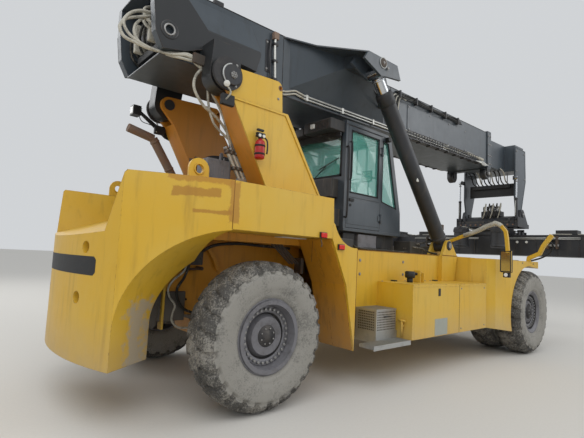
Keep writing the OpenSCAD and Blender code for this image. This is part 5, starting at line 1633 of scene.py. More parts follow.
        return {"FINISHED"}


# Frame, steps, tanks, fenders and mirrors

TANK_TOP = 1.353


class STACKER_OT_frame_sides(bpy.types.Operator):
    """Builds the steps' treads, the tanks' seams and fittings, and bolts and edges along the frame"""

    bl_idname = "stacker.frame_sides"
    bl_label = "Frame Sides"

    def execute(self, context):
        steps = Shape()
        for _, sign in SIDES:
            steps.use("mill_aluminium")
            # Raised bars of the tread plates
            for k in range(15):
                side_box(steps, sign, (1.77 + 0.029 * k, 1.24, 1.0), (1.776 + 0.029 * k, 1.55, 1.007))
            for k in range(26):
                side_box(steps, sign, (1.43 + 0.031 * k, 1.57, 0.600), (1.436 + 0.031 * k, 1.785, 0.606))
            side_box(steps, sign, (1.42, 1.786, 0.545), (2.23, 1.793, 0.605), 0.002)
            # Punched pattern on the step box's face
            steps.use("bare_iron")
            for k in range(13):
                for m in range(8):
                    side_box(steps, sign, (1.785 + 0.031 * k, 1.5595, 0.725 + 0.033 * m),
                        (1.803 + 0.031 * k, 1.5612, 0.741 + 0.033 * m))
            for k in range(9):
                for m in range(8):
                    side_box(steps, sign, (1.7488, 1.265 + 0.031 * k, 0.725 + 0.033 * m),
                        (1.7505, 1.283 + 0.031 * k, 0.741 + 0.033 * m))
            steps.use("mill_aluminium")
            side_box(steps, sign, (1.755, 1.556, 0.985), (2.205, 1.566, 1.004), 0.002)
            side_box(steps, sign, (1.755, 1.556, 0.700), (2.205, 1.566, 0.714), 0.002)
            steps.use("moulded_plastic")
            steps.tube(smooth_path([at(1.93, sign * 1.562, 0.90), at(1.935, sign * 1.585, 0.905),
                at(1.99, sign * 1.587, 0.905), at(2.045, sign * 1.585, 0.905), at(2.05, sign * 1.562, 0.90)],
                4), 0.007, 8)
        steps.piece("step_treads", "chassis", "aluminium_steps")

        tanks = Shape()
        for _, sign in SIDES:
            out = (0, sign, 0)
            tanks.use("black_rubber")
            side_box(tanks, sign, (3.555, 1.30, 0.603), (3.563, 1.8008, 1.3508))
            tanks.use("yellow_enamel")
            side_box(tanks, sign, (2.238, 1.202, 1.346), (4.512, 1.804, 1.3535), 0.003)
            side_box(tanks, sign, (2.245, 1.798, 1.315), (3.55, 1.8035, 1.348), 0.002)
            side_box(tanks, sign, (3.57, 1.798, 1.315), (4.51, 1.8035, 1.348), 0.002)
            tanks.use("bolt_steel")
            for x in (2.30, 2.90, 3.48, 3.64, 4.06, 4.46):
                tanks.bolt(at(x, sign * 1.24, 1.3535), (0, 0, 1), 0.022, 0.010)
            for x in (3.62, 4.43):
                for z in (0.66, 1.28):
                    tanks.bolt(at(x, sign * 1.80, z), out, 0.018, 0.008)
            # Keyhole, filler cap on its neck, yellow bracket and drain handle
            tanks.use("moulded_plastic")
            side_box(tanks, sign, (2.915, 1.80, 1.18), (2.975, 1.806, 1.29), 0.002)
            side_rod(tanks, sign, (2.70, 1.45, TANK_TOP), (2.70, 1.45, 1.42), 0.045, 20, bevel=0.004)
            side_rod(tanks, sign, (2.70, 1.45, 1.42), (2.70, 1.45, 1.52), 0.075, 28, bevel=0.012)
            tanks.use("yellow_enamel")
            side_box(tanks, sign, (2.89, 1.39, TANK_TOP), (2.91, 1.51, 1.535), 0.006)
            side_box(tanks, sign, (2.99, 1.39, TANK_TOP), (3.01, 1.51, 1.500), 0.006)
            side_box(tanks, sign, (2.91, 1.44, TANK_TOP), (2.99, 1.46, 1.46), 0.004)
            side_tube(tanks, sign, ((2.205, 1.66, 0.63), (2.205, 1.66, 0.85)), 0.014, 12)
            side_tube(tanks, sign, ((2.205, 1.60, 0.85), (2.205, 1.72, 0.85)), 0.016, 12)
            side_rod(tanks, sign, (2.238, 1.66, 0.78), (2.200, 1.66, 0.78), 0.022, 16, bevel=0.003)
            tanks.use("moulded_plastic")
            for x in (2.90, 3.00):
                side_rod(tanks, sign, (x, 1.40, 1.48), (x, 1.46, 1.48), 0.024, 14, bevel=0.004)
            for x in (2.55, 3.20, 3.75, 4.25):
                side_box(tanks, sign, (x, 1.21, TANK_TOP), (x + 0.09, 1.27, 1.372), 0.004)
            # Blank plate on the rear tank
            tanks.use("blank_plate")
            side_box(tanks, sign, (2.83, 1.80, 0.61), (3.19, 1.8022, 0.85), 0.0008)
        tanks.piece("tank_details", "chassis", "yellow_paint")

        sides = Shape()
        for _, sign in SIDES:
            out = (0, sign, 0)
            sides.use("bolt_steel")
            for x in (1.82, 2.885):
                for z in (1.455, 1.65):
                    sides.bolt(at(x, sign * 1.2, z), out, 0.030, 0.012)
            sides.use("weld_bead")
            side_tube(sides, sign, ((1.76, 1.202, 1.795), (3.95, 1.202, 1.795)), 0.005, 8)
            side_tube(sides, sign, ((3.96, 1.277, 1.352), (4.41, 1.277, 1.352)), 0.005, 8)
            side_tube(sides, sign, ((5.32, 1.202, 0.64), (5.32, 1.202, 1.79)), 0.005, 8)
            for y in (1.0, 1.25):
                side_tube(sides, sign, ((3.965, y + 0.028, 1.803), (4.485, y + 0.028, 1.803)), 0.006, 8)
            # Hoses and blocks on the frame's top, in front of the cab and below the boom
            sides.use("dusty_black_enamel")
            side_box(sides, sign, (3.55, 0.55, 1.80), (3.86, 0.90, 2.02), 0.012)
            side_box(sides, sign, (1.42, 0.98, 1.80), (1.70, 1.16, 1.94), 0.012)
            side_box(sides, sign, (4.62, 0.30, 1.80), (5.10, 0.86, 1.98), 0.012)
            sides.use("hose_rubber")
            side_run(sides, sign, ((3.62, 0.90, 1.92), (3.74, 1.0, 1.90), (3.92, 1.06, 1.84),
                (4.05, 1.12, 1.82)), 0.016)
            side_run(sides, sign, ((3.72, 0.90, 1.97), (3.86, 0.99, 2.02), (4.02, 1.04, 2.05),
                (4.14, 1.07, 2.10)), 0.016)
            for k in range(3):
                side_run(sides, sign, ((1.70, 1.02 + 0.05 * k, 1.88), (1.95, 0.98 + 0.05 * k, 1.825),
                    (2.7, 0.95 + 0.05 * k, 1.818), (3.50, 0.80 + 0.04 * k, 1.83),
                    (3.56, 0.76 + 0.04 * k, 1.90)), 0.013)
            sides.use("black_enamel")
            # Plug on the mudguard
            side_box(sides, sign, (1.30, 1.2, 1.62), (1.36, 1.222, 1.70), 0.005)
            # Line where the mudguard meets the frame's panel
            sides.use("weld_bead")
            side_tube(sides, sign, ((1.752, 1.203, 0.60), (1.752, 1.203, 1.79)), 0.004, 8)
        sides.piece("frame_side_details", "chassis", "yellow_paint")

        fenders = Shape()
        arch = [(0.893 * math.cos(a), 0.893 * math.sin(a))
            for a in (math.radians(180 - 4.2 * k) for k in range(23))]
        for _, sign in SIDES:
            fenders.use("yellow_enamel")
            edge = [at(WHEELBASE + x, sign * 1.8945, AXLE_Z + z) for x, z in arch if x < 0.16]
            fenders.tube(edge, 0.008, 8)
            fenders.use("bolt_steel")
            for x, z in ((5.02, 1.62), (5.86, 1.745), (6.42, 1.74)):
                fenders.bolt(at(x, sign * 1.9, z), (0, sign, 0), 0.022, 0.010)
            fenders.bolt(at(5.35, sign * 1.9, 1.70), (0, sign, 0), 0.030, 0.008)
            fenders.use("moulded_plastic")
            side_box(fenders, sign, (6.10, 1.62, 1.7852), (6.22, 1.70, 1.80), 0.004)
            side_box(fenders, sign, (6.52, 1.74, 1.70), (6.71, 1.86, 1.77), 0.006)
            fenders.use("lamp_glass")
            side_box(fenders, sign, (6.705, 1.75, 1.708), (6.714, 1.85, 1.762), 0.002)
        fenders.piece("front_fender_details", "chassis", "yellow_paint")

        mirrors = Shape()
        for _, sign in SIDES:
            mirrors.use("mirror_silver")
            side_box(mirrors, sign, (4.676, 1.972, 1.584), (4.6795, 2.128, 1.918), 0.0)
            mirrors.use("moulded_plastic")
            frame_rail(mirrors, [(sign * 1.967, 1.578), (sign * 2.133, 1.578), (sign * 2.133, 1.923),
                (sign * 1.967, 1.923)], in_yz, 0.014, (4.671, 4.681))
            side_box(mirrors, sign, (4.70, 1.955, 1.56), (4.745, 2.145, 1.94), 0.015)
            mirrors.use("black_rubber")
            side_box(mirrors, sign, (4.655, 2.015, 1.476), (4.745, 2.115, 1.566), 0.010)
            mirrors.use("lamp_glass")
            disc(mirrors, at(4.655, sign * 2.065, 1.521), (-1, 0, 0), 0.032, 0.005, 24)
            # Grey sleeve round the mirror pole's bend and the cables beside it
            sleeve = [at(4.70, sign * y, z) for y, z in ((1.30, 2.195), (1.45, 2.247), (1.59, 2.30),
                (1.70, 2.36), (1.80, 2.394), (1.865, 2.42), (1.925, 2.393), (1.97, 2.36))]
            mirrors.use("pale_hose_cover")
            mirrors.tube(sleeve, 0.041, 12)
            mirrors.use("black_rubber")
            side_run(mirrors, sign, ((6.33, 2.20, 2.20), (6.40, 2.26, 2.12), (6.44, 2.20, 1.98),
                (6.40, 2.08, 1.88), (6.36, 1.94, 1.82), (6.32, 1.84, 1.79)), 0.016)
            mirrors.use("bare_iron")
            disc(mirrors, at(6.30, sign * 1.86, 1.7853), (0, 0, 1), 0.036, 0.006, 20)
            side_box(mirrors, sign, (4.63, 0.84, 1.8003), (4.77, 0.96, 1.812), 0.003)
            mirrors.use("bolt_steel")
            for dx in (-0.05, 0.05):
                mirrors.bolt(at(4.70 + dx, sign * 0.86, 1.812), (0, 0, 1), 0.022, 0.012)
        mirrors.piece("mirror_details", "chassis", "black_paint")
        return {"FINISHED"}


# Spreader gear and axles

YOKE_PIN_X, YOKE_PIN_Z = 8.97, 3.05
SPREADER_X = 9.0
# Distance of the twistlocks from the middle, with the arms drawn in
LOCK_Y = 2.9265


class STACKER_OT_head(bpy.types.Operator):
    """Builds the hoses, pins and dampers' fittings at the boom's head"""

    bl_idname = "stacker.head"
    bl_label = "Boom Head"

    def execute(self, context):
        head = Shape()
        for _, sign in SIDES:
            out = (0, sign, 0)
            spot = at(YOKE_PIN_X, sign * 0.70, YOKE_PIN_Z)
            head.use("slate_enamel")
            ring(head, spot, out, 0.052, 0.105, 0.005, 48)
            # Edge strip along the head's plate
            outline = [(8.735, 4.835), (9.375, 4.835), (9.414, 3.99), (9.118, 3.125)]
            for a, b in zip(outline, outline[1:]):
                side_tube(head, sign, ((a[0], 0.701, a[1]), (b[0], 0.701, b[1])), 0.007, 8)
            head.use("bolt_steel")
            for x, z in ((8.78, 4.74), (9.30, 4.74), (9.34, 4.05), (8.78, 4.20), (8.78, 3.70)):
                head.bolt(at(x, sign * 0.70, z), out, 0.034, 0.018)
            # Lug of the damper's upper pin
            head.use("black_enamel")
            side_box(head, sign, (8.56, 0.69, 3.93), (8.72, 0.703, 4.04), 0.004)
            side_rod(head, sign, (8.62, 0.703, 3.98), (8.62, 0.80, 3.98), 0.020, 16, bevel=0.003)
        # Hoses inside the head, down to the yoke's level
        rng = random.Random(19)
        for k in range(9):
            head.use(("pale_hose_cover", "hose_rubber", "black_rubber")[k % 3])
            y = -0.44 + 0.11 * k
            x = 9.12 + 0.02 * (k % 3)
            pipe_run(head, [on_boom(8.40, y, 0.30), on_boom(8.62, y, 0.22), at(8.80, y + 0.02, 3.96),
                at(x, y + 0.04, 3.90 - 0.02 * (k % 4)), at(x + 0.10, y + 0.02,
                3.78 + rng.uniform(-0.05, 0.05)), at(x - 0.10, y, 3.66), at(8.94, y, 3.64)], 0.017, 5, 8)
        # Dark plate and block behind the hoses: partly a hose guard, partly painted shade among the hoses
        head.use("moulded_plastic")
        head.box(at(8.90, -0.599, 3.56), at(8.93, 0.599, 3.90), 0.006)
        head.box(at(8.84, -0.52, 3.78), at(8.92, 0.52, 3.88), 0.015)
        head.use("bare_iron")
        for k in range(5):
            y = -0.48 + 0.24 * k
            pipe_run(head, [at(9.36, y, 4.70), at(9.42, y, 4.55), at(9.43, y + 0.02, 4.25),
                at(9.40, y + 0.01, 4.02)], 0.012, 4, 8)
        head.piece("boom_head_gear", "boom_inner", "black_paint")

        yoke = Shape()
        for _, sign in SIDES:
            out = (0, sign, 0)
            yoke.use("bolt_steel")
            disc(yoke, at(YOKE_PIN_X, sign * 0.79, YOKE_PIN_Z), out, 0.040, 0.030, 32)
            yoke.use("black_enamel")
            ring(yoke, at(YOKE_PIN_X, sign * 0.79, YOKE_PIN_Z), out, 0.052, 0.085, 0.016, 40)
            yoke.use("bolt_steel")
            for a in circle(6):
                yoke.bolt(at(YOKE_PIN_X + 0.069 * math.cos(a), sign * 0.806,
                    YOKE_PIN_Z + 0.069 * math.sin(a)), out, 0.016, 0.010, False)
            # Rail of the yoke's rear edge, its ribs and bolts
            yoke.use("dusty_black_enamel")
            side_box(yoke, sign, (8.575, 0.05, 2.81), (8.60, 0.79, 2.86), 0.003)
            for k in range(6):
                side_box(yoke, sign, (8.60, 0.10 + 0.12 * k, 2.81), (8.70, 0.118 + 0.12 * k, 2.86), 0.002)
            yoke.use("rusted_exhaust")
            for k in range(5):
                yoke.bolt(at(8.575, sign * (0.14 + 0.14 * k), 2.755), (-1, 0, 0), 0.034, 0.020)
            yoke.use("bolt_steel")
            for k in range(4):
                yoke.bolt(at(8.72 + 0.18 * k, sign * 0.72, 2.81), (0, 0, 1), 0.032, 0.018)
            # Upright stay beside the head
            yoke.use("black_enamel")
            side_rod(yoke, sign, (8.60, 0.60, 2.81), (8.60, 0.60, 2.96), 0.040, 20, bevel=0.006)
        # Valve block with its hoses on the hump
        yoke.use("moulded_plastic")
        yoke.box(at(8.86, -0.26, 3.01), at(9.12, 0.26, 3.16), 0.012)
        for k in range(5):
            y = -0.20 + 0.10 * k
            yoke.use("bolt_steel")
            yoke.rod(at(8.92, y, 3.16), at(8.92, y, 3.21), 0.018, 6, smooth=False, bevel=0.002)
            yoke.use(("pale_hose_cover", "hose_rubber")[k % 2])
            pipe_run(yoke, [at(8.92, y, 3.19), at(8.90, y - 0.04, 3.30), at(8.80, y - 0.10, 3.36),
                at(8.70, y - 0.14, 3.26), at(8.70, y - 0.10, 3.08), at(8.74, y - 0.04, 2.95)], 0.015, 5, 8)
            pipe_run(yoke, [at(9.04, y, 3.16), at(9.06, y + 0.05, 3.28), at(9.16, y + 0.12, 3.32),
                at(9.24, y + 0.16, 3.18), at(9.26, y + 0.18, 2.98)], 0.015, 5, 8)
        yoke.use("black_enamel")
        yoke.rod(at(8.98, 0.0, 3.16), at(8.98, 0.0, 3.34), 0.060, 24, bevel=0.01)
        yoke.piece("tilt_yoke_gear", "tilt_yoke", "black_paint")

        barrels = Shape()
        rods = Shape()
        for _, sign in SIDES:
            spot = at(8.62, sign * 0.76, 2.94)
            barrels.use("black_enamel")
            barrels.revolve([(0.0352, 0.47), (0.0405, 0.474), (0.0405, 0.512), (0.034, 0.522),
                (0.0205, 0.522)], spot, (0, 0, 1), 36)
            barrels.use("zinc_pipe")
            barrels.tube([spot + Vector((-0.044, 0, 0.05)), spot + Vector((-0.047, 0, 0.12)),
                spot + Vector((-0.047, 0, 0.40)), spot + Vector((-0.042, 0, 0.455))], 0.006, 8)
            rods.use("bolt_steel")
            rods.revolve([(0.0202, 0), (0.030, 0.003), (0.030, 0.030), (0.0202, 0.033)],
                at(8.62, sign * 0.76, 3.88), (0, 0, 1), 28)
        barrels.piece("damper_barrel_gear", "damper_barrels", "black_paint")
        rods.piece("damper_rod_collars", "damper_rods", "bright_rod")
        return {"FINISHED"}


class STACKER_OT_spreader(bpy.types.Operator):
    """Builds the slewing gear, ribs, hoses, lamps and twistlock details of the spreader"""

    bl_idname = "stacker.spreader"
    bl_label = "Spreader"

    def execute(self, context):
        slew = Shape().use("dusty_black_enamel")
        slew.revolve([(0.4505, 0.0), (0.50, 0.003), (0.50, 0.035), (0.4505, 0.038)], at(SPREADER_X, 0, 2.604),
            (0, 0, 1), 72)
        slew.use("bolt_steel")
        for a in circle(36):
            slew.bolt(at(SPREADER_X + 0.475 * math.cos(a), 0.475 * math.sin(a), 2.642), (0, 0, 1), 0.024,
                0.014, False)
        for _, sign in SIDES:
            # Slewing motors stand on the drums' arms
            slew.use("black_enamel")
            slew.revolve([(0.1902, 0.02), (0.200, 0.024), (0.200, 0.07), (0.1902, 0.074)],
                at(8.2, sign * 0.5, 2.12), (0, 0, 1), 48)
            slew.revolve([(0.1902, 0.46), (0.200, 0.464), (0.200, 0.51), (0.1902, 0.514)],
                at(8.2, sign * 0.5, 2.12), (0, 0, 1), 48)
            side_rod(slew, sign, (8.2, 0.5, 2.60), (8.2, 0.5, 2.678), 0.080, 28, bevel=0.008)
            slew.use("bolt_steel")
            for a in circle(12):
                slew.bolt(at(8.2 + 0.15 * math.cos(a), sign * 0.5 + 0.15 * math.sin(a), 2.659), (0, 0, 1),
                    0.022, 0.012, False)
            slew.use("pale_hose_cover")
            side_run(slew, sign, ((8.14, 0.44, 2.66), (8.12, 0.42, 2.675), (8.20, 0.34, 2.66),
                (8.40, 0.30, 2.62), (8.58, 0.28, 2.605)), 0.014)
            slew.use("black_enamel")
            for x in (8.62, 9.34):
                side_box(slew, sign, (x, 0.52, 2.601), (x + 0.05, 0.69, 2.67), 0.006)
            # Ribs on the slew frame's side and the end of the side-shift rod
            for x in (8.60, 8.86, 9.12, 9.38):
                side_box(slew, sign, (x, 0.70, 2.482), (x + 0.02, 0.74, 2.598), 0.002)
            slew.use("hard_chrome")
            side_rod(slew, sign, (8.64, 0.70, 2.545), (8.64, 0.78, 2.545), 0.022, 20)
        slew.use("black_enamel")
        slew.rod(at(8.64, -0.70, 2.545), at(8.64, 0.70, 2.545), 0.012, 12)
        slew.piece("slew_gear", "slew_frame", "black_paint")

        beam = Shape()
        beam.use("dusty_black_enamel")
        for _, sign in SIDES:
            for k in range(5):
                y = 0.30 + 0.46 * k
                for x0, x1 in ((8.588, 8.600), (9.400, 9.412)):
                    side_box(beam, sign, (x0, y, 1.975), (x1, y + 0.02, 2.465), 0.0)
            side_box(beam, sign, (8.585, 2.20, 1.965), (9.415, 2.305, 1.990), 0.004)
            side_box(beam, sign, (8.585, 2.20, 2.45), (9.415, 2.305, 2.484), 0.004)
            # Boxes on top of the beam, then lamps, pipes and hoses on its rear side
            side_box(beam, sign, (8.68, 1.64, 2.482), (8.98, 2.10, 2.60), 0.012)
            side_box(beam, sign, (9.08, 1.62, 2.482), (9.32, 2.04, 2.56), 0.012)
            beam.use("dial_white")
            disc(beam, at(8.588, sign * 0.80, 2.30), (-1, 0, 0), 0.032, 0.010, 24)
            disc(beam, at(8.588, sign * 1.02, 2.30), (-1, 0, 0), 0.032, 0.010, 24)
            beam.use("zinc_pipe")
            side_tube(beam, sign, ((8.592, 0.20, 2.38), (8.592, 2.18, 2.38)), 0.010, 8)
            side_tube(beam, sign, ((8.592, 0.20, 2.41), (8.592, 2.18, 2.41)), 0.010, 8)
            beam.use("pale_hose_cover")
            for k in range(4):
                side_run(beam, sign, ((8.54 + 0.01 * k, 1.58, 2.40), (8.56 + 0.01 * k, 1.60, 2.48),
                    (8.62 + 0.02 * k, 1.66, 2.498), (8.66 + 0.01 * k, 1.85, 2.498),
                    (8.74 + 0.03 * k, 2.20, 2.50)), 0.012, 6, 8)
            beam.use("bolt_steel")
            for k in range(7):
                beam.bolt(at(8.66 + 0.115 * k, sign * 2.26, 2.484), (0, 0, 1), 0.026, 0.014)
            beam.use("black_enamel")
        # Gripping gear's brackets near the middle, each with its pins
        for _, sign in SIDES:
            beam.use("bare_iron")
            side_box(beam, sign, (8.47, 1.50, 2.14), (8.60, 1.54, 2.44), 0.006)
            side_box(beam, sign, (8.47, 1.70, 2.14), (8.60, 1.74, 2.44), 0.006)
            beam.use("bolt_steel")
            side_rod(beam, sign, (8.52, 1.48, 2.22), (8.52, 1.76, 2.22), 0.028, 20, bevel=0.004)
            side_rod(beam, sign, (8.54, 1.48, 2.38), (8.54, 1.76, 2.38), 0.022, 20, bevel=0.004)
        beam.piece("spreader_beam_gear", "spreader_frame", "black_paint")

        for side, sign in SIDES:
            arm = Shape()
            x0, x1 = SPREADER_X - 1.219, SPREADER_X + 1.219
            y_in = 2.829
            arm.use("dusty_black_enamel")
            for x in (7.99, 8.30, 9.62, 9.95):
                side_box(arm, sign, (x, y_in - 0.010, 2.08), (x + 0.02, y_in, 2.52), 0.0)
            for lock_x in (SPREADER_X - 1.1295, SPREADER_X + 1.1295):
                arm.use("black_enamel")
                side_box(arm, sign, (lock_x - 0.09, 2.83, 1.90), (lock_x + 0.09, 2.8415, 2.06), 0.003)
                arm.use("bolt_steel")
                side_rod(arm, sign, (lock_x, LOCK_Y, 1.797), (lock_x, LOCK_Y, 1.84), 0.034, 4, smooth=False,
                    bevel=0.008)
                ring(arm, at(lock_x, sign * LOCK_Y, 1.885), (0, 0, -1), 0.030, 0.060, 0.012, 32)
                disc(arm, at(lock_x, sign * LOCK_Y, 2.54), (0, 0, 1), 0.050, 0.050, 28)
                arm.use("rusted_exhaust")
                arm.box(at(lock_x - 0.016, sign * LOCK_Y - 0.09, 2.56),
                    at(lock_x + 0.016, sign * LOCK_Y + 0.03, 2.578), 0.003)
                arm.use("black_enamel")
                # Guide plate that leans out at the corner
                edge = 1 if lock_x > SPREADER_X else -1
                arm.prism([(lock_x + edge * 0.0895, 2.48), (lock_x + edge * 0.0895, 2.06),
                    (lock_x + edge * 0.082, 2.06), (lock_x + edge * 0.082, 2.48)], sign * 2.845, sign * 3.01,
                    in_xz)
            arm.use("zinc_pipe")
            side_rod(arm, sign, (x0 + 0.14, 2.87, 2.56), (SPREADER_X - 0.20, 2.87, 2.56), 0.018, 14)
            side_rod(arm, sign, (SPREADER_X + 0.20, 2.87, 2.56), (x1 - 0.14, 2.87, 2.56), 0.018, 14)
            arm.use("black_enamel")
            side_box(arm, sign, (8.80, 2.84, 2.54), (9.20, 2.98, 2.62), 0.01)
            arm.use("moulded_plastic")
            side_box(arm, sign, (8.52, 2.86, 2.54), (8.66, 3.0, 2.60), 0.008)
            arm.use("lamp_glass")
            side_box(arm, sign, (8.512, 2.875, 2.55), (8.521, 2.985, 2.592), 0.002)
            arm.use("hose_rubber")
            side_run(arm, sign, ((8.98, 2.83, 2.58), (8.96, 2.74, 2.56), (8.94, 2.60, 2.47),
                (8.94, 2.42, 2.44)), 0.014)
            arm.piece(f"spreader_arm_gear_{side}", f"spreader_arm_{side}", "black_paint")
        return {"FINISHED"}


class STACKER_OT_axles(bpy.types.Operator):
    """Builds the steering cylinder and arms, the brake drums, the differential's cover and its shaft"""

    bl_idname = "stacker.axles"
    bl_label = "Axles"

    def execute(self, context):
        axle = Shape()
        axle.use("dusty_black_enamel")
        axle.rod(at(-0.20, -0.34, 0.86), at(-0.20, 0.34, 0.86), 0.070, 32, bevel=0.008)
        for x in (-0.155, 0.150):
            axle.box(at(x, -0.70, 0.69), at(x + 0.006, 0.70, 0.72), 0.002)
        axle.use("hard_chrome")
        axle.rod(at(-0.20, -0.62, 0.86), at(-0.20, 0.62, 0.86), 0.033, 24)
        axle.use("bolt_steel")
        for _, sign in SIDES:
            for dx in (-0.075, 0.075):
                axle.bolt(at(dx, sign * 0.88, 1.01), (0, 0, 1), 0.028, 0.016)
                axle.bolt(at(dx, sign * 0.98, 1.01), (0, 0, 1), 0.028, 0.016)
            axle.bolt(at(-0.151, sign * 0.5, 0.80), (-1, 0, 0), 0.036, 0.018)
            axle.bolt(at(0.151, sign * 0.5, 0.80), (1, 0, 0), 0.036, 0.018)
        axle.use("hose_rubber")
        for _, sign in SIDES:
            side_run(axle, sign, ((-0.20, 0.26, 0.93), (-0.26, 0.24, 1.02), (-0.34, 0.30, 1.06),
                (-0.42, 0.385, 1.08)), 0.013)
        axle.piece("steering_cylinder", "chassis", "black_paint")
        for side, sign in SIDES:
            arm = Shape().use("dusty_black_enamel")
            arm.prism([(-0.07, 0.90), (-0.20, 0.86), (-0.26, 0.88), (-0.26, 0.96), (-0.20, 1.00),
                (-0.07, 1.05)], 0.80, 0.84, lambda u, v, w: at(u, sign * v, w))
            arm.use("bolt_steel")
            side_rod(arm, sign, (-0.22, 0.92, 0.76), (-0.22, 0.92, 0.87), 0.030, 20, bevel=0.004)
            arm.use("dusty_black_enamel")
            arm.revolve([(0.0, 0.0), (0.17, 0.0), (0.18, 0.01), (0.18, 0.045), (0.066, 0.05)],
                at(0, sign * 1.075, 0.80), (0, sign, 0), 48)
            arm.piece(f"knuckle_arm_{side}", f"knuckle_{side}", "black_paint")

        drive = Shape().use("dusty_black_enamel")
        centre = at(WHEELBASE, 0, AXLE_Z)
        drive.revolve([(0.0, -0.345), (0.11, -0.345), (0.16, -0.325), (0.19, -0.28), (0.20, -0.20)], centre,
            (1, 0, 0), 48)
        drive.rod(centre + Vector((-0.60, 0, 0.02)), centre + Vector((-0.30, 0, 0)), 0.075, 28, bevel=0.008)
        drive.use("bolt_steel")
        for a in circle(14):
            drive.bolt(centre + Vector((-0.205, 0.215 * math.cos(a), 0.215 * math.sin(a))), (-1, 0, 0), 0.026,
                0.016, False)
        for _, sign in SIDES:
            for k in range(4):
                drive.bolt(at(WHEELBASE - 0.15 + 0.10 * k, sign * 0.622, 1.08), (0, sign, 0), 0.028, 0.014)
            drive.use("black_rubber")
            side_run(drive, sign, ((WHEELBASE - 0.10, 0.62, 0.98), (WHEELBASE - 0.20, 0.70, 1.06),
                (WHEELBASE - 0.28, 0.78, 1.02), (WHEELBASE - 0.20, 0.84, 0.92)), 0.012)
            drive.use("bolt_steel")
        drive.use("dusty_black_enamel")
        drive.rod(at(1.30, 0.0, 1.02), at(WHEELBASE - 0.60, 0.0, 0.84), 0.055, 24)
        for x, z in ((1.36, 1.017), (3.2, 0.95), (WHEELBASE - 0.68, 0.845)):
            drive.revolve([(0.056, 0), (0.095, 0.01), (0.095, 0.045), (0.056, 0.055)], at(x, 0, z),
                (1, 0, -0.04), 28)
        drive.piece("drive_shaft", "chassis", "black_paint")
        return {"FINISHED"}


# Stage


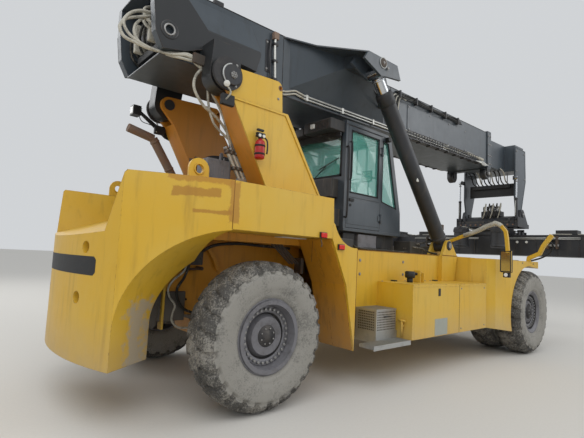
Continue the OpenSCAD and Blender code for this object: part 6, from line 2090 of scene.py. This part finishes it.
class STACKER_OT_stage(bpy.types.Operator):
    """Places the floor, the light and the camera of the photograph"""

    bl_idname = "stacker.stage"
    bl_label = "Stage"

    def execute(self, context):
        scene = context.scene
        scene.view_settings.view_transform = "Standard"
        data = bpy.data.cameras.new("photo_camera")
        data.sensor_fit = "HORIZONTAL"
        data.sensor_width = 36
        data.lens = CAMERA_FOCAL_PX / PHOTO_W * data.sensor_width
        data.clip_end = 300
        camera = bpy.data.objects.new("photo_camera", data)
        scene.collection.objects.link(camera)
        yaw, pitch, roll = (math.radians(v) for v in (CAMERA_YAW, CAMERA_PITCH, CAMERA_ROLL))
        ahead = Vector((math.cos(pitch) * math.cos(yaw), math.cos(pitch) * math.sin(yaw), math.sin(pitch)))
        level = Vector((math.sin(yaw), -math.cos(yaw), 0))
        over = level.cross(ahead)
        right = level * math.cos(roll) + over * math.sin(roll)
        up = right.cross(ahead)
        turn = Matrix((right, up, -ahead)).transposed().to_4x4()
        camera.matrix_world = Matrix.Translation(at(*CAMERA_FROM_REAR_AXLE)) @ turn
        scene.camera = camera

        floor_mesh = bpy.data.meshes.new("floor")
        reach = 90
        floor_mesh.from_pydata([(-reach, -reach, 0), (reach, -reach, 0), (reach, reach, 0),
            (-reach, reach, 0)], [], [(0, 1, 2, 3)])
        floor = bpy.data.objects.new("floor", floor_mesh)
        scene.collection.objects.link(floor)
        material, tree, shader = new_material("pale_floor", 0.9)
        coord = place_of(tree)
        grain = noise(tree, coord, 30, 4, 0.6)
        tone = blend_colour(tree, (grain, "Fac"), "cfccc6", "d8d5cf")
        feed(tree, tone, "Result", shader, "Base Color")
        floor_mesh.materials.append(material)

        world = bpy.data.worlds.new("overcast")
        world.use_nodes = True
        scene.world = world
        tree = world.node_tree
        backing = next(n for n in tree.nodes if n.type == "BACKGROUND")
        backing.inputs["Color"].default_value = to_linear("e6e9ec")
        backing.inputs["Strength"].default_value = 0.80
        for name, place, target, size, power in (
            ("sky_panel", (-6, -9, 13), (2, 0, 1.5), 14, 850),
            ("front_panel", (14, -10, 9), (4, 0, 1.5), 10, 500),
            ("back_panel", (-4, 12, 10), (2, 0, 1.5), 10, 500),
        ):
            light = bpy.data.lights.new(name, "AREA")
            light.shape = "DISK"
            light.size = size
            light.energy = power
            lamp = bpy.data.objects.new(name, light)
            scene.collection.objects.link(lamp)
            lamp.location = at(*place)
            lamp.rotation_euler = (at(*target) - at(*place)).to_track_quat("-Z", "Y").to_euler()
        return {"FINISHED"}


# Panel and registration

PIECE_OPERATORS = (
    STACKER_OT_finishes,
    STACKER_OT_wheels,
    STACKER_OT_rear_body,
    STACKER_OT_wheel_bays,
    STACKER_OT_towers,
    STACKER_OT_engine,
    STACKER_OT_boom_heel,
    STACKER_OT_boom_sides,
    STACKER_OT_lift_cylinders,
    STACKER_OT_cab,
    STACKER_OT_frame_sides,
    STACKER_OT_head,
    STACKER_OT_spreader,
    STACKER_OT_axles,
    STACKER_OT_stage,
)


class STACKER_PT_panel(bpy.types.Panel):
    """Lists the pieces of the reach stacker"""

    bl_idname = "STACKER_PT_panel"
    bl_label = "Reach Stacker"
    bl_space_type = "VIEW_3D"
    bl_region_type = "UI"
    bl_category = "Reach Stacker"

    def draw(self, context):
        layout = self.layout
        for group in (sizes(), paints()):
            for name in group.bl_rna.properties.keys():
                if name not in ("rna_type", "name"):
                    layout.prop(group, name)
        for operator in PIECE_OPERATORS:
            layout.operator(operator.bl_idname)


CLASSES = (SizeSettings, ColourSettings, *PIECE_OPERATORS, STACKER_PT_panel)


def register():
    for cls in CLASSES:
        bpy.utils.register_class(cls)
    bpy.types.Scene.stacker_sizes = bpy.props.PointerProperty(type=SizeSettings)
    bpy.types.Scene.stacker_paints = bpy.props.PointerProperty(type=ColourSettings)


def unregister():
    del bpy.types.Scene.stacker_paints
    del bpy.types.Scene.stacker_sizes
    for cls in reversed(CLASSES):
        bpy.utils.unregister_class(cls)


def main():
    register()
    for operator in PIECE_OPERATORS:
        group, name = operator.bl_idname.split(".")
        getattr(getattr(bpy.ops, group), name)()


if __name__ == "__main__":
    main()
